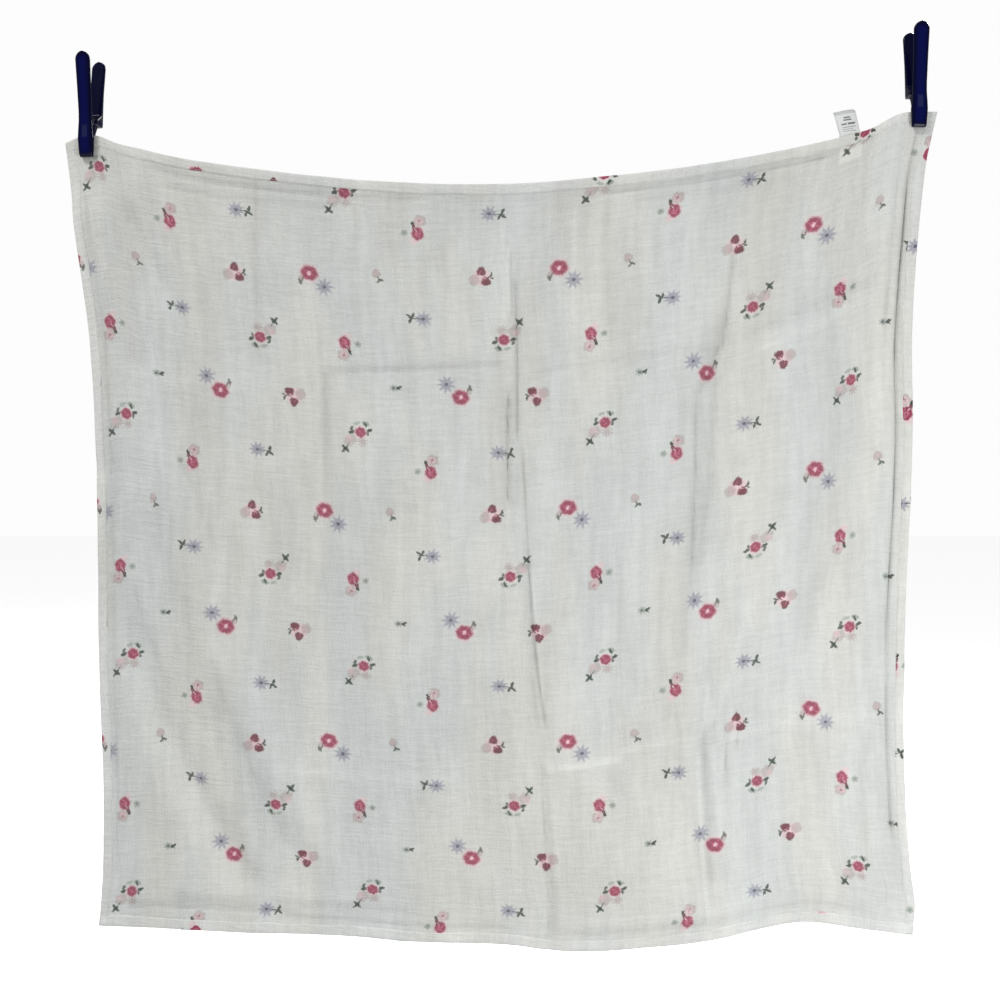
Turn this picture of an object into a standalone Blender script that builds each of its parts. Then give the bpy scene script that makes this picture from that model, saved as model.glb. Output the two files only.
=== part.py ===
"""Swaddle blanket of crinkled cotton gauze, hung by its two top corners from spring clips.

Metres, +Z up. The origin is midway between the upper ends of the two clips, +X runs to the viewer's
right and +Y away from the viewer, so the blanket hangs below the origin, facing -Y.
"""

import math

import bmesh
import bpy
import numpy as np

COLLECTION = "swaddle_blanket"

# Blanket: its thickness as crinkled double gauze and at the turned hem, and the hem's width.
GAUZE_THICKNESS = 0.0015
HEM_THICKNESS = 0.0024
HEM_WIDTH = 0.014

# The hanging outline, as points (x, z) that a smooth line goes through, each side in hanging order:
# top and bottom from left to right, left and right from top to bottom.
TOP_EDGE = (
    (-0.597, -0.139), (-0.578, -0.132), (-0.555, -0.131), (-0.521, -0.144), (-0.480, -0.155),
    (-0.310, -0.183), (-0.113, -0.199), (0.000, -0.200), (0.132, -0.190), (0.268, -0.174),
    (0.390, -0.152), (0.499, -0.122), (0.543, -0.100), (0.590, -0.098),
)
BOTTOM_EDGE = (
    (-0.547, -1.202), (-0.468, -1.202), (-0.321, -1.212), (-0.208, -1.221), (-0.140, -1.229),
    (0.023, -1.232), (0.057, -1.235), (0.200, -1.228), (0.291, -1.220), (0.335, -1.211),
    (0.403, -1.201), (0.499, -1.213), (0.558, -1.218),
)
LEFT_EDGE = (
    (-0.597, -0.139), (-0.590, -0.190), (-0.583, -0.248), (-0.562, -0.397), (-0.552, -0.571),
    (-0.550, -0.789), (-0.543, -1.142), (-0.547, -1.202),
)
RIGHT_EDGE = (
    (0.590, -0.098), (0.573, -0.177), (0.562, -0.284), (0.556, -0.379), (0.556, -0.518),
    (0.545, -0.816), (0.545, -0.952), (0.556, -1.138), (0.561, -1.175), (0.558, -1.218),
)

# Folds that run down the cloth. Columns: share of the height where the fold starts and ends, share
# of the width at its start and end, how far its middle bows to the right (share of the width), half
# its width and its depth (metres, + away from the viewer, so - is a ridge).
FOLDS = (
    (0.05, 0.46, 0.521, 0.509, 0.000, 0.0045, -0.0035),  # centre pleat, upper lap
    (0.32, 0.76, 0.520, 0.552, -0.004, 0.0055, -0.0045),  # centre pleat, lower lap
    (0.74, 1.02, 0.548, 0.549, 0.002, 0.0050, 0.0030),  # centre pleat, its foot at the hem
    (0.16, 0.64, 0.777, 0.732, -0.006, 0.0180, 0.0090),  # right valley
    (0.70, 0.98, 0.741, 0.742, 0.000, 0.0110, 0.0050),  # right valley, below its break
    (0.18, 0.34, 0.732, 0.730, 0.000, 0.0150, -0.0050),  # ridge beside the right valley
    (0.26, 0.50, 0.080, 0.087, 0.000, 0.0060, -0.0040),  # left ridge
    (0.02, 0.26, 0.219, 0.208, 0.000, 0.0140, -0.0040),  # ridge below the top, on the left
    (0.12, 0.44, 0.588, 0.586, 0.000, 0.0100, -0.0030),  # ridge right of the centre pleat
    (0.56, 1.00, 0.026, 0.222, -0.032, 0.0280, 0.0110),  # left swag, its valley
    (0.36, 0.96, 0.070, 0.300, -0.030, 0.0340, -0.0090),  # left swag, its ridge
    (0.16, 0.82, 0.962, 0.800, 0.045, 0.0300, 0.0100),  # right swag, its valley
    (0.14, 0.74, 0.905, 0.790, 0.020, 0.0300, -0.0080),  # right swag, its ridge
    (0.02, 0.22, 0.045, 0.110, 0.000, 0.0160, 0.0070),  # drawn fold under the left clip
    (0.02, 0.22, 0.955, 0.900, 0.000, 0.0160, 0.0070),  # drawn fold under the right clip
)
FOLD_FADE = 0.22  # share of a fold's length over which each of its ends dies away

# Broad swells of the whole cloth. Columns: share of width and of height at the middle, half width
# and half height as shares, depth (metres).
SWELLS = (
    (0.42, 0.42, 0.28, 0.24, -0.012),
    (0.86, 0.62, 0.14, 0.30, -0.006),
    (0.10, 1.05, 0.10, 0.30, -0.016),
    (0.38, 0.97, 0.12, 0.18, 0.013),
    (0.66, 1.05, 0.10, 0.28, -0.012),
    (0.92, 1.05, 0.08, 0.26, 0.012),
)
TOP_ROLL = 0.012  # the top edge stands this far forward of the cloth below it
TOP_ROLL_SHARE = 0.07  # and comes back over this share of the height

# Grid of the blanket's solid: even columns and rows, and the extra columns beside the centre pleat.
COLUMNS = 38
ROWS = 38
PLEAT_SHARE = 0.516
PLEAT_DRIFT = 0.033  # the pleat leans to the right by this share of the width, from top to bottom
PLEAT_LEAN = (0.35, 0.72)  # between these shares of the height
PLEAT_COLUMNS = (-0.016, -0.010, -0.006, -0.003, 0.0, 0.003, 0.006, 0.010, 0.016)

# Clips. Columns: x, z of the jaw's lower end, turn about the vertical (degrees).
CLIPS = {
    "clip_left": (-0.5640, -0.1600, -10.0),
    "clip_right": (0.5640, -0.1195, 0.0),
}
JAW_GRIP = (0.048, 0.060)  # half width and half height of the cloth that lies flat between the jaws
JAW_FADE = 0.060  # the flat part dies away over this length
JAW_BITE = 0.020  # height above the jaw's lower end where that flat part is centred

# Levers. Columns: height above the jaw's lower end, width, inner face's distance from the cloth's
# middle plane, thickness. The front lever is a plain tongue; the back one has a narrow jaw, and a
# shoulder above it where the wide handle starts.
FRONT_LEVER = (
    (0.0000, 0.0185, 0.0018, 0.0045),
    (0.0030, 0.0200, 0.0017, 0.0064),
    (0.0240, 0.0218, 0.0017, 0.0080),
    (0.0340, 0.0205, 0.0038, 0.0062),
    (0.0470, 0.0190, 0.0034, 0.0064),
    (0.0600, 0.0190, 0.0044, 0.0056),
    (0.0950, 0.0198, 0.0080, 0.0050),
    (0.1280, 0.0210, 0.0114, 0.0046),
)
FRONT_TOP = 0.1386
BACK_LEVER = (
    (0.0000, 0.0100, 0.0018, 0.0045),
    (0.0030, 0.0120, 0.0017, 0.0060),
    (0.0240, 0.0120, 0.0017, 0.0068),
    (0.0340, 0.0120, 0.0038, 0.0062),
    (0.0460, 0.0120, 0.0034, 0.0120),
    (0.0470, 0.0185, 0.0034, 0.0190),
    (0.0520, 0.0190, 0.0040, 0.0186),
    (0.0620, 0.0190, 0.0150, 0.0080),
    (0.0950, 0.0194, 0.0195, 0.0052),
    (0.1300, 0.0200, 0.0240, 0.0048),
)
BACK_TOP = 0.1405
LEVER_CORNER = 0.0015  # corner radius of a lever's section
ROUND_STEPS = 6  # sections in a lever's rounded top
SPRING_HEIGHT = 0.0470
SPRING_RADIUS = 0.0030
SPRING_LENGTH = 0.0150

# Care label: where its middle crosses the top edge (share of the width), its width, the lengths
# below and above the edge, its thickness, how its upper half leans, and its distance behind the
# cloth's middle plane.
LABEL_SHARE = 0.905
LABEL_WIDTH = 0.029
LABEL_BELOW = 0.031
LABEL_ABOVE = 0.031
LABEL_THICKNESS = 0.0012
LABEL_LEAN = math.radians(12)
LABEL_BEND = 0.008  # the lean sets in over this height above the edge
LABEL_SETBACK = 0.0045
LABEL_CELLS = (4, 12)


def clear_scene():
    for thing in list(bpy.data.objects):
        bpy.data.objects.remove(thing, do_unlink=True)


def material(name, colour, roughness, metallic=0.0):
    made = bpy.data.materials.new(name)
    made.use_nodes = True
    shader = made.node_tree.nodes["Principled BSDF"]
    shader.inputs["Base Color"].default_value = (*colour, 1.0)
    shader.inputs["Roughness"].default_value = roughness
    shader.inputs["Metallic"].default_value = metallic
    return made


def place(name, points, faces, look, collection):
    """A mesh object with its faces turned outwards, shaded smooth but for sharp edges."""
    mesh = bpy.data.meshes.new(name)
    mesh.from_pydata([tuple(p) for p in points], [], faces)
    shell = bmesh.new()
    shell.from_mesh(mesh)
    bmesh.ops.recalc_face_normals(shell, faces=shell.faces)
    shell.to_mesh(mesh)
    shell.free()
    mesh.shade_smooth()
    mesh.set_sharp_from_angle(angle=math.radians(35))
    mesh.materials.append(look)
    made = bpy.data.objects.new(name, mesh)
    collection.objects.link(made)
    return made


def smooth_step(value):
    """0 below 0, 1 above 1, and a smooth S between them."""
    value = np.clip(value, 0.0, 1.0)
    return value * value * (3.0 - 2.0 * value)


def along(edge, share):
    """The points at these shares of an edge's length, on a smooth curve through its points."""
    knots = np.array(edge)
    length = np.concatenate([[0.0], np.cumsum(np.linalg.norm(np.diff(knots, axis=0), axis=1))])
    slope = np.gradient(knots, length, axis=0)
    fine = np.linspace(0.0, length[-1], 600)
    i = np.clip(np.searchsorted(length, fine, side="right") - 1, 0, len(length) - 2)
    gap = (length[i + 1] - length[i])[:, None]
    f = ((fine - length[i])[:, None]) / gap
    curve = (
        (2 * f**3 - 3 * f**2 + 1) * knots[i]
        + (f**3 - 2 * f**2 + f) * gap * slope[i]
        + (3 * f**2 - 2 * f**3) * knots[i + 1]
        + (f**3 - f**2) * gap * slope[i + 1]
    )
    walked = np.concatenate([[0.0], np.cumsum(np.linalg.norm(np.diff(curve, axis=0), axis=1))])
    at = np.asarray(share) * walked[-1]
    return np.stack([np.interp(at, walked, curve[:, k]) for k in range(2)], axis=-1)


def outline_patch(s, t):
    """x and z at shares s of the width and t of the height: the four edges blended inwards."""
    top, bottom = along(TOP_EDGE, s), along(BOTTOM_EDGE, s)
    left, right = along(LEFT_EDGE, t), along(RIGHT_EDGE, t)
    s, t = s[..., None], t[..., None]
    corners = (
        (1 - s) * (1 - t) * np.array(TOP_EDGE[0])
        + s * (1 - t) * np.array(TOP_EDGE[-1])
        + (1 - s) * t * np.array(BOTTOM_EDGE[0])
        + s * t * np.array(BOTTOM_EDGE[-1])
    )
    return (1 - t) * top + t * bottom + (1 - s) * left + s * right - corners


def fold_depth(s, t, width):
    """Every fold's and swell's share of the depth: bell-shaped across, dying away at its ends."""
    depth = -TOP_ROLL * np.exp(-t / TOP_ROLL_SHARE)
    for start, end, from_s, to_s, bow, half, deep in FOLDS:
        f = (t - start) / (end - start)
        middle = from_s + (to_s - from_s) * f + 4 * bow * f * (1 - f)
        ends = smooth_step(f / FOLD_FADE) * smooth_step((1 - f) / FOLD_FADE)
        depth = depth + deep * ends * np.exp(-(((s - middle) * width / half) ** 2))
    for s_mid, t_mid, s_half, t_half, deep in SWELLS:
        depth = depth + deep * np.exp(-(((s - s_mid) / s_half) ** 2) - ((t - t_mid) / t_half) ** 2)
    return depth


def cloth_surface(s, t):
    """The blanket's middle surface. Between the jaws it lies flat and turned as the clip is."""
    across, up = np.moveaxis(outline_patch(s, t), -1, 0)
    width = TOP_EDGE[-1][0] - TOP_EDGE[0][0]
    depth = fold_depth(s, t, width)
    for x, z, turn in CLIPS.values():
        out_x = np.maximum(np.abs(across - x) - JAW_GRIP[0], 0.0)
        out_z = np.maximum(np.abs(up - z - JAW_BITE) - JAW_GRIP[1], 0.0)
        held = 1.0 - smooth_step(np.hypot(out_x, out_z) / JAW_FADE)
        plane = math.tan(math.radians(turn)) * (across - x)
        depth = depth * (1.0 - held) + plane * held
    return np.stack([across, depth, up], axis=-1)


def grid_faces(rows, columns):
    corner = np.arange((rows - 1) * columns).reshape(rows - 1, columns)[:, :-1].ravel()
    return np.stack([corner, corner + columns, corner + columns + 1, corner + 1], axis=1).tolist()


def make_cloth(look, collection):
    """One sheet: an open grid over the hanging surface, thickened, and thicker along its hems."""
    hem = HEM_WIDTH / (TOP_EDGE[-1][0] - TOP_EDGE[0][0])
    even = np.linspace(hem, 1.0 - hem, COLUMNS)
    near = np.abs(even - PLEAT_SHARE) < 0.024
    u = np.sort(np.concatenate([[0.0, 1.0], even[~near], PLEAT_SHARE + np.array(PLEAT_COLUMNS)]))
    v = np.concatenate([[0.0], np.linspace(hem, 1.0 - hem, ROWS), [1.0]])
    u, t = np.meshgrid(u, v)
    lean = smooth_step((t - PLEAT_LEAN[0]) / (PLEAT_LEAN[1] - PLEAT_LEAN[0]))
    s = u + PLEAT_DRIFT * lean * np.sin(math.pi * u) ** 2
    points = cloth_surface(s, t)
    rows, columns = u.shape
    cloth = place("blanket_cloth", points.reshape(-1, 3), grid_faces(rows, columns), look, collection)
    inside = (s > hem * 1.01) & (s < 1 - hem * 1.01) & (t > hem * 1.01) & (t < 1 - hem * 1.01)
    thick = cloth.vertex_groups.new(name="thickness")
    thick.add(np.flatnonzero(inside).tolist(), GAUZE_THICKNESS / HEM_THICKNESS, "REPLACE")
    thick.add(np.flatnonzero(~inside).tolist(), 1.0, "REPLACE")
    shell = cloth.modifiers.new("thickness", "SOLIDIFY")
    shell.thickness = HEM_THICKNESS
    shell.offset = 0.0
    shell.vertex_group = thick.name
    return cloth


def make_label(look, collection):
    """A folded ribbon that follows the cloth's back and stands up, leaning, above the edge."""
    across = np.linspace(-0.5, 0.5, LABEL_CELLS[0] + 1) * LABEL_WIDTH
    steps = np.linspace(-LABEL_BELOW, LABEL_ABOVE, LABEL_CELLS[1] + 1)
    width = TOP_EDGE[-1][0] - TOP_EDGE[0][0]
    height = TOP_EDGE[-1][1] - BOTTOM_EDGE[-1][1]
    edge_x, edge_z = along(TOP_EDGE, LABEL_SHARE)
    lean = LABEL_LEAN * smooth_step(steps / LABEL_BEND)
    middle_x = edge_x - np.tan(lean) * np.maximum(steps, 0.0)
    x = middle_x[:, None] + across * np.cos(lean)[:, None]
    z = (edge_z + steps)[:, None] + across * np.sin(lean)[:, None]
    s = LABEL_SHARE + (x - edge_x) / width
    t = np.maximum(along(TOP_EDGE, s)[..., 1] - z, 0.0) / height
    y = cloth_surface(s, t)[..., 1] + LABEL_SETBACK
    points = np.stack([x, y, z], axis=-1)
    label = place("care_label", points.reshape(-1, 3), grid_faces(*x.shape), look, collection)
    shell = label.modifiers.new("thickness", "SOLIDIFY")
    shell.thickness = LABEL_THICKNESS
    shell.offset = 0.0
    return label


def lever_sections(table, top):
    """The table's sections, then the ones that round the handle's top off as a half circle."""
    sections = [list(row) for row in table]
    height, width, inner, thick = table[-1]
    radius = top - height
    lean = (inner - table[-2][2]) / (height - table[-2][0])
    for step in range(1, ROUND_STEPS + 1):
        angle = math.radians(88) * step / ROUND_STEPS
        rise = radius * math.sin(angle)
        sections.append([height + rise, width * math.cos(angle), inner + lean * rise, thick])
    return sections


def section_outline(width, inner, outer, height, side):
    """A rounded rectangle round one section of a lever, four points to each corner."""
    radius = min(LEVER_CORNER, 0.45 * width, 0.45 * (outer - inner))
    middle = (inner + outer) / 2
    outline = []
    for turn, sx, sy in ((0, 1, 1), (90, -1, 1), (180, -1, -1), (270, 1, -1)):
        cx = sx * (width / 2 - radius)
        cy = middle + sy * ((outer - inner) / 2 - radius)
        for part in range(4):
            angle = math.radians(turn + 30 * part)
            x = cx + radius * math.cos(angle)
            outline.append((x, side * (cy + radius * math.sin(angle)), height))
    return outline


def make_lever(name, table, top, side, look, collection):
    """A lever lofted through its sections. side is -1 in front of the cloth and +1 behind it."""
    loops = [section_outline(w, i, i + d, h, side) for h, w, i, d in lever_sections(table, top)]
    count = len(loops[0])
    points = [point for loop in loops for point in loop]
    faces = [tuple(range(count)), tuple(range(len(points) - count, len(points)))]
    for low in range(0, len(points) - count, count):
        for i in range(count):
            j = (i + 1) % count
            faces.append((low + i, low + j, low + j + count, low + i + count))
    return place(name, points, faces, look, collection)


def make_spring(name, look, collection):
    """The spring's coil as a plain drum on the pivot, between the two levers."""
    drum = bmesh.new()
    bmesh.ops.create_cone(
        drum, cap_ends=True, segments=24, radius1=SPRING_RADIUS, radius2=SPRING_RADIUS,
        depth=SPRING_LENGTH,
    )
    mesh = bpy.data.meshes.new(name)
    drum.to_mesh(mesh)
    drum.free()
    mesh.shade_smooth()
    mesh.set_sharp_from_angle(angle=math.radians(35))
    mesh.materials.append(look)
    made = bpy.data.objects.new(name, mesh)
    made.rotation_euler = (0.0, math.radians(90), 0.0)
    made.location = (0.0, 0.0, SPRING_HEIGHT)
    collection.objects.link(made)
    return made


def make_clip(name, x, z, turn, plastic, steel, collection):
    frame = bpy.data.objects.new(name, None)
    frame.location = (x, 0.0, z)
    frame.rotation_euler = (0.0, 0.0, math.radians(turn))
    collection.objects.link(frame)
    pieces = (
        make_lever(f"{name}_front_lever", FRONT_LEVER, FRONT_TOP, -1, plastic, collection),
        make_lever(f"{name}_back_lever", BACK_LEVER, BACK_TOP, 1, plastic, collection),
        make_spring(f"{name}_spring", steel, collection),
    )
    for piece in pieces:
        piece.parent = frame


def main():
    clear_scene()
    collection = bpy.data.collections.new(COLLECTION)
    bpy.context.scene.collection.children.link(collection)
    gauze = material("cotton_gauze", (0.62, 0.65, 0.60), 0.95)
    ribbon = material("label_ribbon", (0.80, 0.81, 0.80), 0.7)
    plastic = material("navy_plastic", (0.010, 0.014, 0.085), 0.3)
    steel = material("spring_steel", (0.45, 0.46, 0.48), 0.35, 1.0)
    make_cloth(gauze, collection)
    make_label(ribbon, collection)
    for name, (x, z, turn) in CLIPS.items():
        make_clip(name, x, z, turn, plastic, steel, collection)
    bpy.context.view_layer.update()


main()
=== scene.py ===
"""Swaddle blanket of printed cotton gauze, hung by its top corners from two navy clips.

Metres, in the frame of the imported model: +X to the viewer's right, +Y away from the viewer, +Z up.
"""

import math

import bmesh
import bpy
import numpy as np
from mathutils import Matrix, Vector


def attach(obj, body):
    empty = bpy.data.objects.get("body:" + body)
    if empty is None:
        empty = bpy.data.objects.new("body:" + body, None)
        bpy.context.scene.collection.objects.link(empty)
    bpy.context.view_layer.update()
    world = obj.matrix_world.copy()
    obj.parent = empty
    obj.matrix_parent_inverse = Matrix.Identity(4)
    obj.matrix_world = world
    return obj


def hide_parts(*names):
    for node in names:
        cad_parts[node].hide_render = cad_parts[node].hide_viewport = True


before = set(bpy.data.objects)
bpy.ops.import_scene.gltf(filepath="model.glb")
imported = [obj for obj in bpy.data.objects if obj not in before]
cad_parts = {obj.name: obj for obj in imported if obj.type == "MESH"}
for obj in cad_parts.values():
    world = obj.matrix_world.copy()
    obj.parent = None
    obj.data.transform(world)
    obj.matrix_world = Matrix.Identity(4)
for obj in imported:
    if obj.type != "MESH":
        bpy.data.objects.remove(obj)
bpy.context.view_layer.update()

# ---------------------------------------------------------------------------------------------------
# The blanket's sheet. Two layers of loosely woven cotton gauze, tacked together and washed so that
# they crinkle; printed with small sprays of flowers on the right side, which faces away from the
# viewer, so that the print shows through paler on the near side. It hangs from its two top corners.

SHEET_THICKNESS = 0.0009
SHEET_COLUMNS = 290
SHEET_ROWS = 166

# The hanging outline, as points (x, z) that a smooth line goes through: top and bottom from left to
# right, left and right from top to bottom.
TOP_EDGE = (
    (-0.597, -0.139), (-0.578, -0.132), (-0.555, -0.131), (-0.521, -0.144), (-0.480, -0.155),
    (-0.310, -0.183), (-0.113, -0.199), (0.000, -0.200), (0.132, -0.190), (0.268, -0.174),
    (0.390, -0.152), (0.499, -0.122), (0.543, -0.100), (0.590, -0.098),
)
BOTTOM_EDGE = (
    (-0.547, -1.202), (-0.468, -1.202), (-0.321, -1.212), (-0.208, -1.221), (-0.140, -1.229),
    (0.023, -1.232), (0.057, -1.235), (0.200, -1.228), (0.291, -1.220), (0.335, -1.211),
    (0.403, -1.201), (0.499, -1.213), (0.558, -1.218),
)
LEFT_EDGE = (
    (-0.597, -0.139), (-0.590, -0.190), (-0.583, -0.248), (-0.562, -0.397), (-0.552, -0.571),
    (-0.550, -0.789), (-0.543, -1.142), (-0.547, -1.202),
)
RIGHT_EDGE = (
    (0.590, -0.098), (0.573, -0.177), (0.562, -0.284), (0.556, -0.379), (0.556, -0.518),
    (0.545, -0.816), (0.545, -0.952), (0.556, -1.138), (0.561, -1.175), (0.558, -1.218),
)
HANG_WIDTH = TOP_EDGE[-1][0] - TOP_EDGE[0][0]
HANG_HEIGHT = TOP_EDGE[7][1] - BOTTOM_EDGE[5][1]

# Folds that run down the cloth. Columns, in thousandths: share of the height where the fold starts
# and ends, share of the width at its start and end, how far its middle bows to the right (share of
# the width), half its width and its depth (of a metre, + away from the viewer, so - is a ridge).
FOLDS = (
    (50, 460, 521, 509, 0, 4.5, -3.5),  # centre pleat, upper lap
    (320, 760, 520, 552, -4, 5.5, -4.5),  # centre pleat, lower lap
    (740, 1020, 548, 549, 2, 5, 3),  # centre pleat, its foot at the hem
    (160, 660, 778, 746, -2, 26, 7.6),  # right valley
    (700, 980, 741, 742, 0, 11, 5),  # right valley, below its break
    (180, 340, 732, 730, 0, 15, -5),  # ridge beside the right valley
    (260, 500, 80, 87, 0, 6, -4),  # left ridge
    (20, 260, 219, 208, 0, 14, -4),  # ridge below the top, on the left
    (120, 440, 588, 586, 0, 10, -3),  # ridge right of the centre pleat
    (560, 1000, 26, 222, -32, 28, 11),  # left swag, its valley
    (360, 960, 70, 300, -30, 34, -9),  # left swag, its ridge
    (160, 820, 962, 800, 45, 30, 8),  # right swag, its valley
    (140, 740, 905, 790, 20, 30, -5.5),  # right swag, its ridge
    (20, 220, 45, 110, 0, 16, 7),  # drawn fold under the left clip
    (20, 220, 955, 900, 0, 16, 4.5),  # drawn fold under the right clip
)
FOLD_FADE = 0.22  # share of a fold's length over which each of its ends dies away

# Broad swells of the whole cloth. Columns, in thousandths: share of width and of height at the
# middle, half width and half height as shares, depth (of a metre).
SWELLS = (
    (420, 420, 280, 240, -12),
    (860, 620, 140, 300, -6),
    (100, 1050, 100, 300, -16),
    (380, 970, 120, 180, 13),
    (660, 1050, 100, 280, -12),
    (920, 1050, 80, 260, 12),
)
TOP_ROLL = 0.012  # the top edge stands this far forward of the cloth below it
TOP_ROLL_SHARE = 0.07  # and comes back over this share of the height

# Creases pressed in while the blanket lay folded. Columns, in thousandths: share of the width and of
# the height at the start, the same at the end, sideways bow (share), width to each side over which
# the crease falls to a third, and depth (both of a metre, - is a ridge).
# These depths also paint shade into the gauze's colour, darker in each pressed line and lighter on each
# ridge, besides shaping the sheet.
CREASES = (
    (30, 300, 200, 290, 0, 6, -1.4),  # upper fold line, left end
    (284, 259, 514, 237, -4, 5, 3),
    (527, 248, 770, 242, -5, 5, 1.4),
    (776, 240, 972, 200, -9, 6, 2),  # upper fold line, right end
    (790, 262, 960, 224, -6, 5, -1.2),
    (200, 789, 450, 782, 2, 7, -1.4),  # lower fold line, left end
    (545, 766, 650, 757, 2, 5, -3),
    (630, 752, 745, 738, -2, 4.5, -1.6),
    (760, 748, 970, 732, 2, 5.5, -1.4),  # lower fold line, right end
    (223, 10, 208, 225, 0, 5, 2.4),
    (288, 245, 279, 440, 0, 4.5, 2.6),
    (518, 110, 514, 350, 2, 3.8, 4.4),  # centre pleat, its narrow channels
    (507, 270, 503, 425, -2, 2.4, 5.2),
    (511, 80, 511, 175, 0, 1.8, -4.2),
    (504, 50, 505, 190, 0, 2.2, -1.8),
    (531, 500, 549, 700, 3, 2.6, -2.6),
    (520, 325, 556, 735, -6, 2.8, 5.2),
    (528, 480, 541, 650, -1, 2.8, 2.4),
    (544, 745, 547, 1000, 2, 2.8, 2.6),
    (586, 20, 588, 300, 0, 6, -1.8),
    (623, 15, 630, 230, 0, 6, 1.4),
    (716, 20, 724, 190, 0, 5.5, -2),
    (777, 110, 766, 250, 0, 3.8, 4),  # right valley, its sharp throat
    (760, 235, 733, 300, 3, 4.5, 2.6),
    (732, 285, 730, 530, 0, 4, 4.2),
    (767, 180, 737, 540, 0, 15, 3),  # right valley, its floor, darkened by painted shade
    (794, 345, 790, 480, 0, 16, -1.6),
    (730, 500, 722, 640, 0, 5, 2.2),
    (748, 720, 747, 940, 0, 4.5, 3.2),
    (741, 745, 741, 990, 0, 2, -3),
    (736, 860, 738, 990, 0, 3, 1.6),
    (760, 750, 762, 900, 0, 4, -1.8),
    (775, 730, 773, 810, 1, 2.2, 3),
    (787, 705, 785, 770, 4, 2.2, 2.6),
    (793, 715, 790, 790, 2, 2.2, -2),
    (885, 110, 905, 420, 4, 7, 1.6),
    (72, 180, 85, 440, 0, 6, -2),
    (92, 370, 150, 520, 4, 6, 1.4),
    (40, 560, 95, 720, -4, 6, 1.5),
    (140, 640, 235, 900, -8, 6.5, 1.4),
    (800, 560, 745, 740, 12, 7, -2.4),
    (370, 300, 374, 520, 0, 6, -1.1),
    (352, 450, 350, 690, 3, 7, 1.2),
    (640, 470, 646, 720, 0, 6, 1.2),
    (455, 60, 460, 230, 0, 6, -1.2),
    (981, 0, 981, 330, 2, 2.2, 7.6),  # beside the right hem
    (971, 45, 969, 300, 1, 2, 2.8),
    (981, 290, 978, 640, 1, 2, 6.2),
    (978, 600, 981, 900, 0, 2.4, 4.4),
    (960, 60, 962, 400, 0, 4, -1.4),
    (712, 700, 716, 790, 4, 3, 2.2),  # crumpled patch below the right valley
    (728, 690, 724, 770, -3, 2.8, -2.2),
    (752, 668, 742, 745, 2, 2.8, -2.6),
    (764, 690, 758, 760, 0, 2.8, 2.2),
    (782, 700, 766, 800, 0, 3.4, -1.4),
    (705, 735, 770, 722, 4, 3, 1.8),
    (17, 50, 18, 460, 0, 3, 2.8),  # beside the left hem
    (18, 420, 16, 950, 0, 3.4, 2.2),
    (80, 21, 420, 20, 3, 2.8, 3),  # below the top hem
    (380, 20, 640, 20, 2, 2.8, 1.2),
    (600, 20, 900, 20, 1, 2.8, 2.6),
    (100, 38, 330, 36, 4, 3.4, 1.8),
    (300, 34, 620, 33, -2, 3.4, 0.8),
    (640, 32, 850, 36, 3, 3.4, 1.8),
    (20, 976, 240, 974, -3, 3, 2.8),  # above the bottom hem
    (200, 978, 520, 979, 2, 2.8, 2.2),
    (540, 979, 960, 977, 0, 2.8, 2),
    (60, 960, 400, 962, 4, 4, 2),
    (120, 948, 330, 952, -3, 4, -1.4),
    (580, 963, 800, 960, 3, 4, -1.4),
)

CREASE_FADE = 0.12  # share of a crease's length over which each of its ends dies away

# Crinkles left by the washing. Columns: a crinkle's width, its length down the cloth and how far it
# rises (metres).
CRINKLES = (
    (0.014, 0.060, 0.00022),
    (0.024, 0.110, 0.00060),
    (0.045, 0.070, 0.00090),
    (0.060, 0.024, 0.00045),
    (0.110, 0.040, 0.00080),
    (0.160, 0.200, 0.00200),
)
CRINKLE_CELLS = 257
CRINKLE_SWAY = 0.012  # how far the crinkles wander sideways, and up and down
SWAY_CELLS = (0.080, 0.110)  # over this width and height, and the other way round up and down

# Clips. Columns: x, z of the jaw's lower end, turn about the vertical (degrees).
CLIPS = {
    "clip_left": (-0.5640, -0.1600, -10.0),
    "clip_right": (0.5640, -0.1195, 0.0),
}
JAW_GRIP = (0.048, 0.060)  # half width and half height of the cloth that lies flat between the jaws
JAW_FADE = 0.060  # the flat part dies away over this length
JAW_BITE = 0.020  # height above the jaw's lower end where that flat part is centred


def smooth_step(value):
    """0 below 0, 1 above 1, and a smooth S between them."""
    value = np.clip(value, 0.0, 1.0)
    return value * value * (3.0 - 2.0 * value)


def walked(path):
    """Distance walked along a path to each of its points."""
    return np.concatenate([[0.0], np.cumsum(np.linalg.norm(np.diff(path, axis=0), axis=1))])


def along(edge, share):
    """The points at these shares of an edge's length, on a cubic curve through its points."""
    knots = np.array(edge)
    length = walked(knots)
    slope = np.gradient(knots, length, axis=0)
    fine = np.linspace(0.0, length[-1], 600)
    i = np.clip(np.searchsorted(length, fine, side="right") - 1, 0, len(length) - 2)
    gap = (length[i + 1] - length[i])[:, None]
    f = ((fine - length[i])[:, None]) / gap
    curve = (
        (2 * f**3 - 3 * f**2 + 1) * knots[i]
        + (f**3 - 2 * f**2 + f) * gap * slope[i]
        + (3 * f**2 - 2 * f**3) * knots[i + 1]
        + (f**3 - f**2) * gap * slope[i + 1]
    )
    gone = walked(curve)
    at = np.asarray(share) * gone[-1]
    return np.stack([np.interp(at, gone, curve[:, k]) for k in range(2)], axis=-1)


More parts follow.
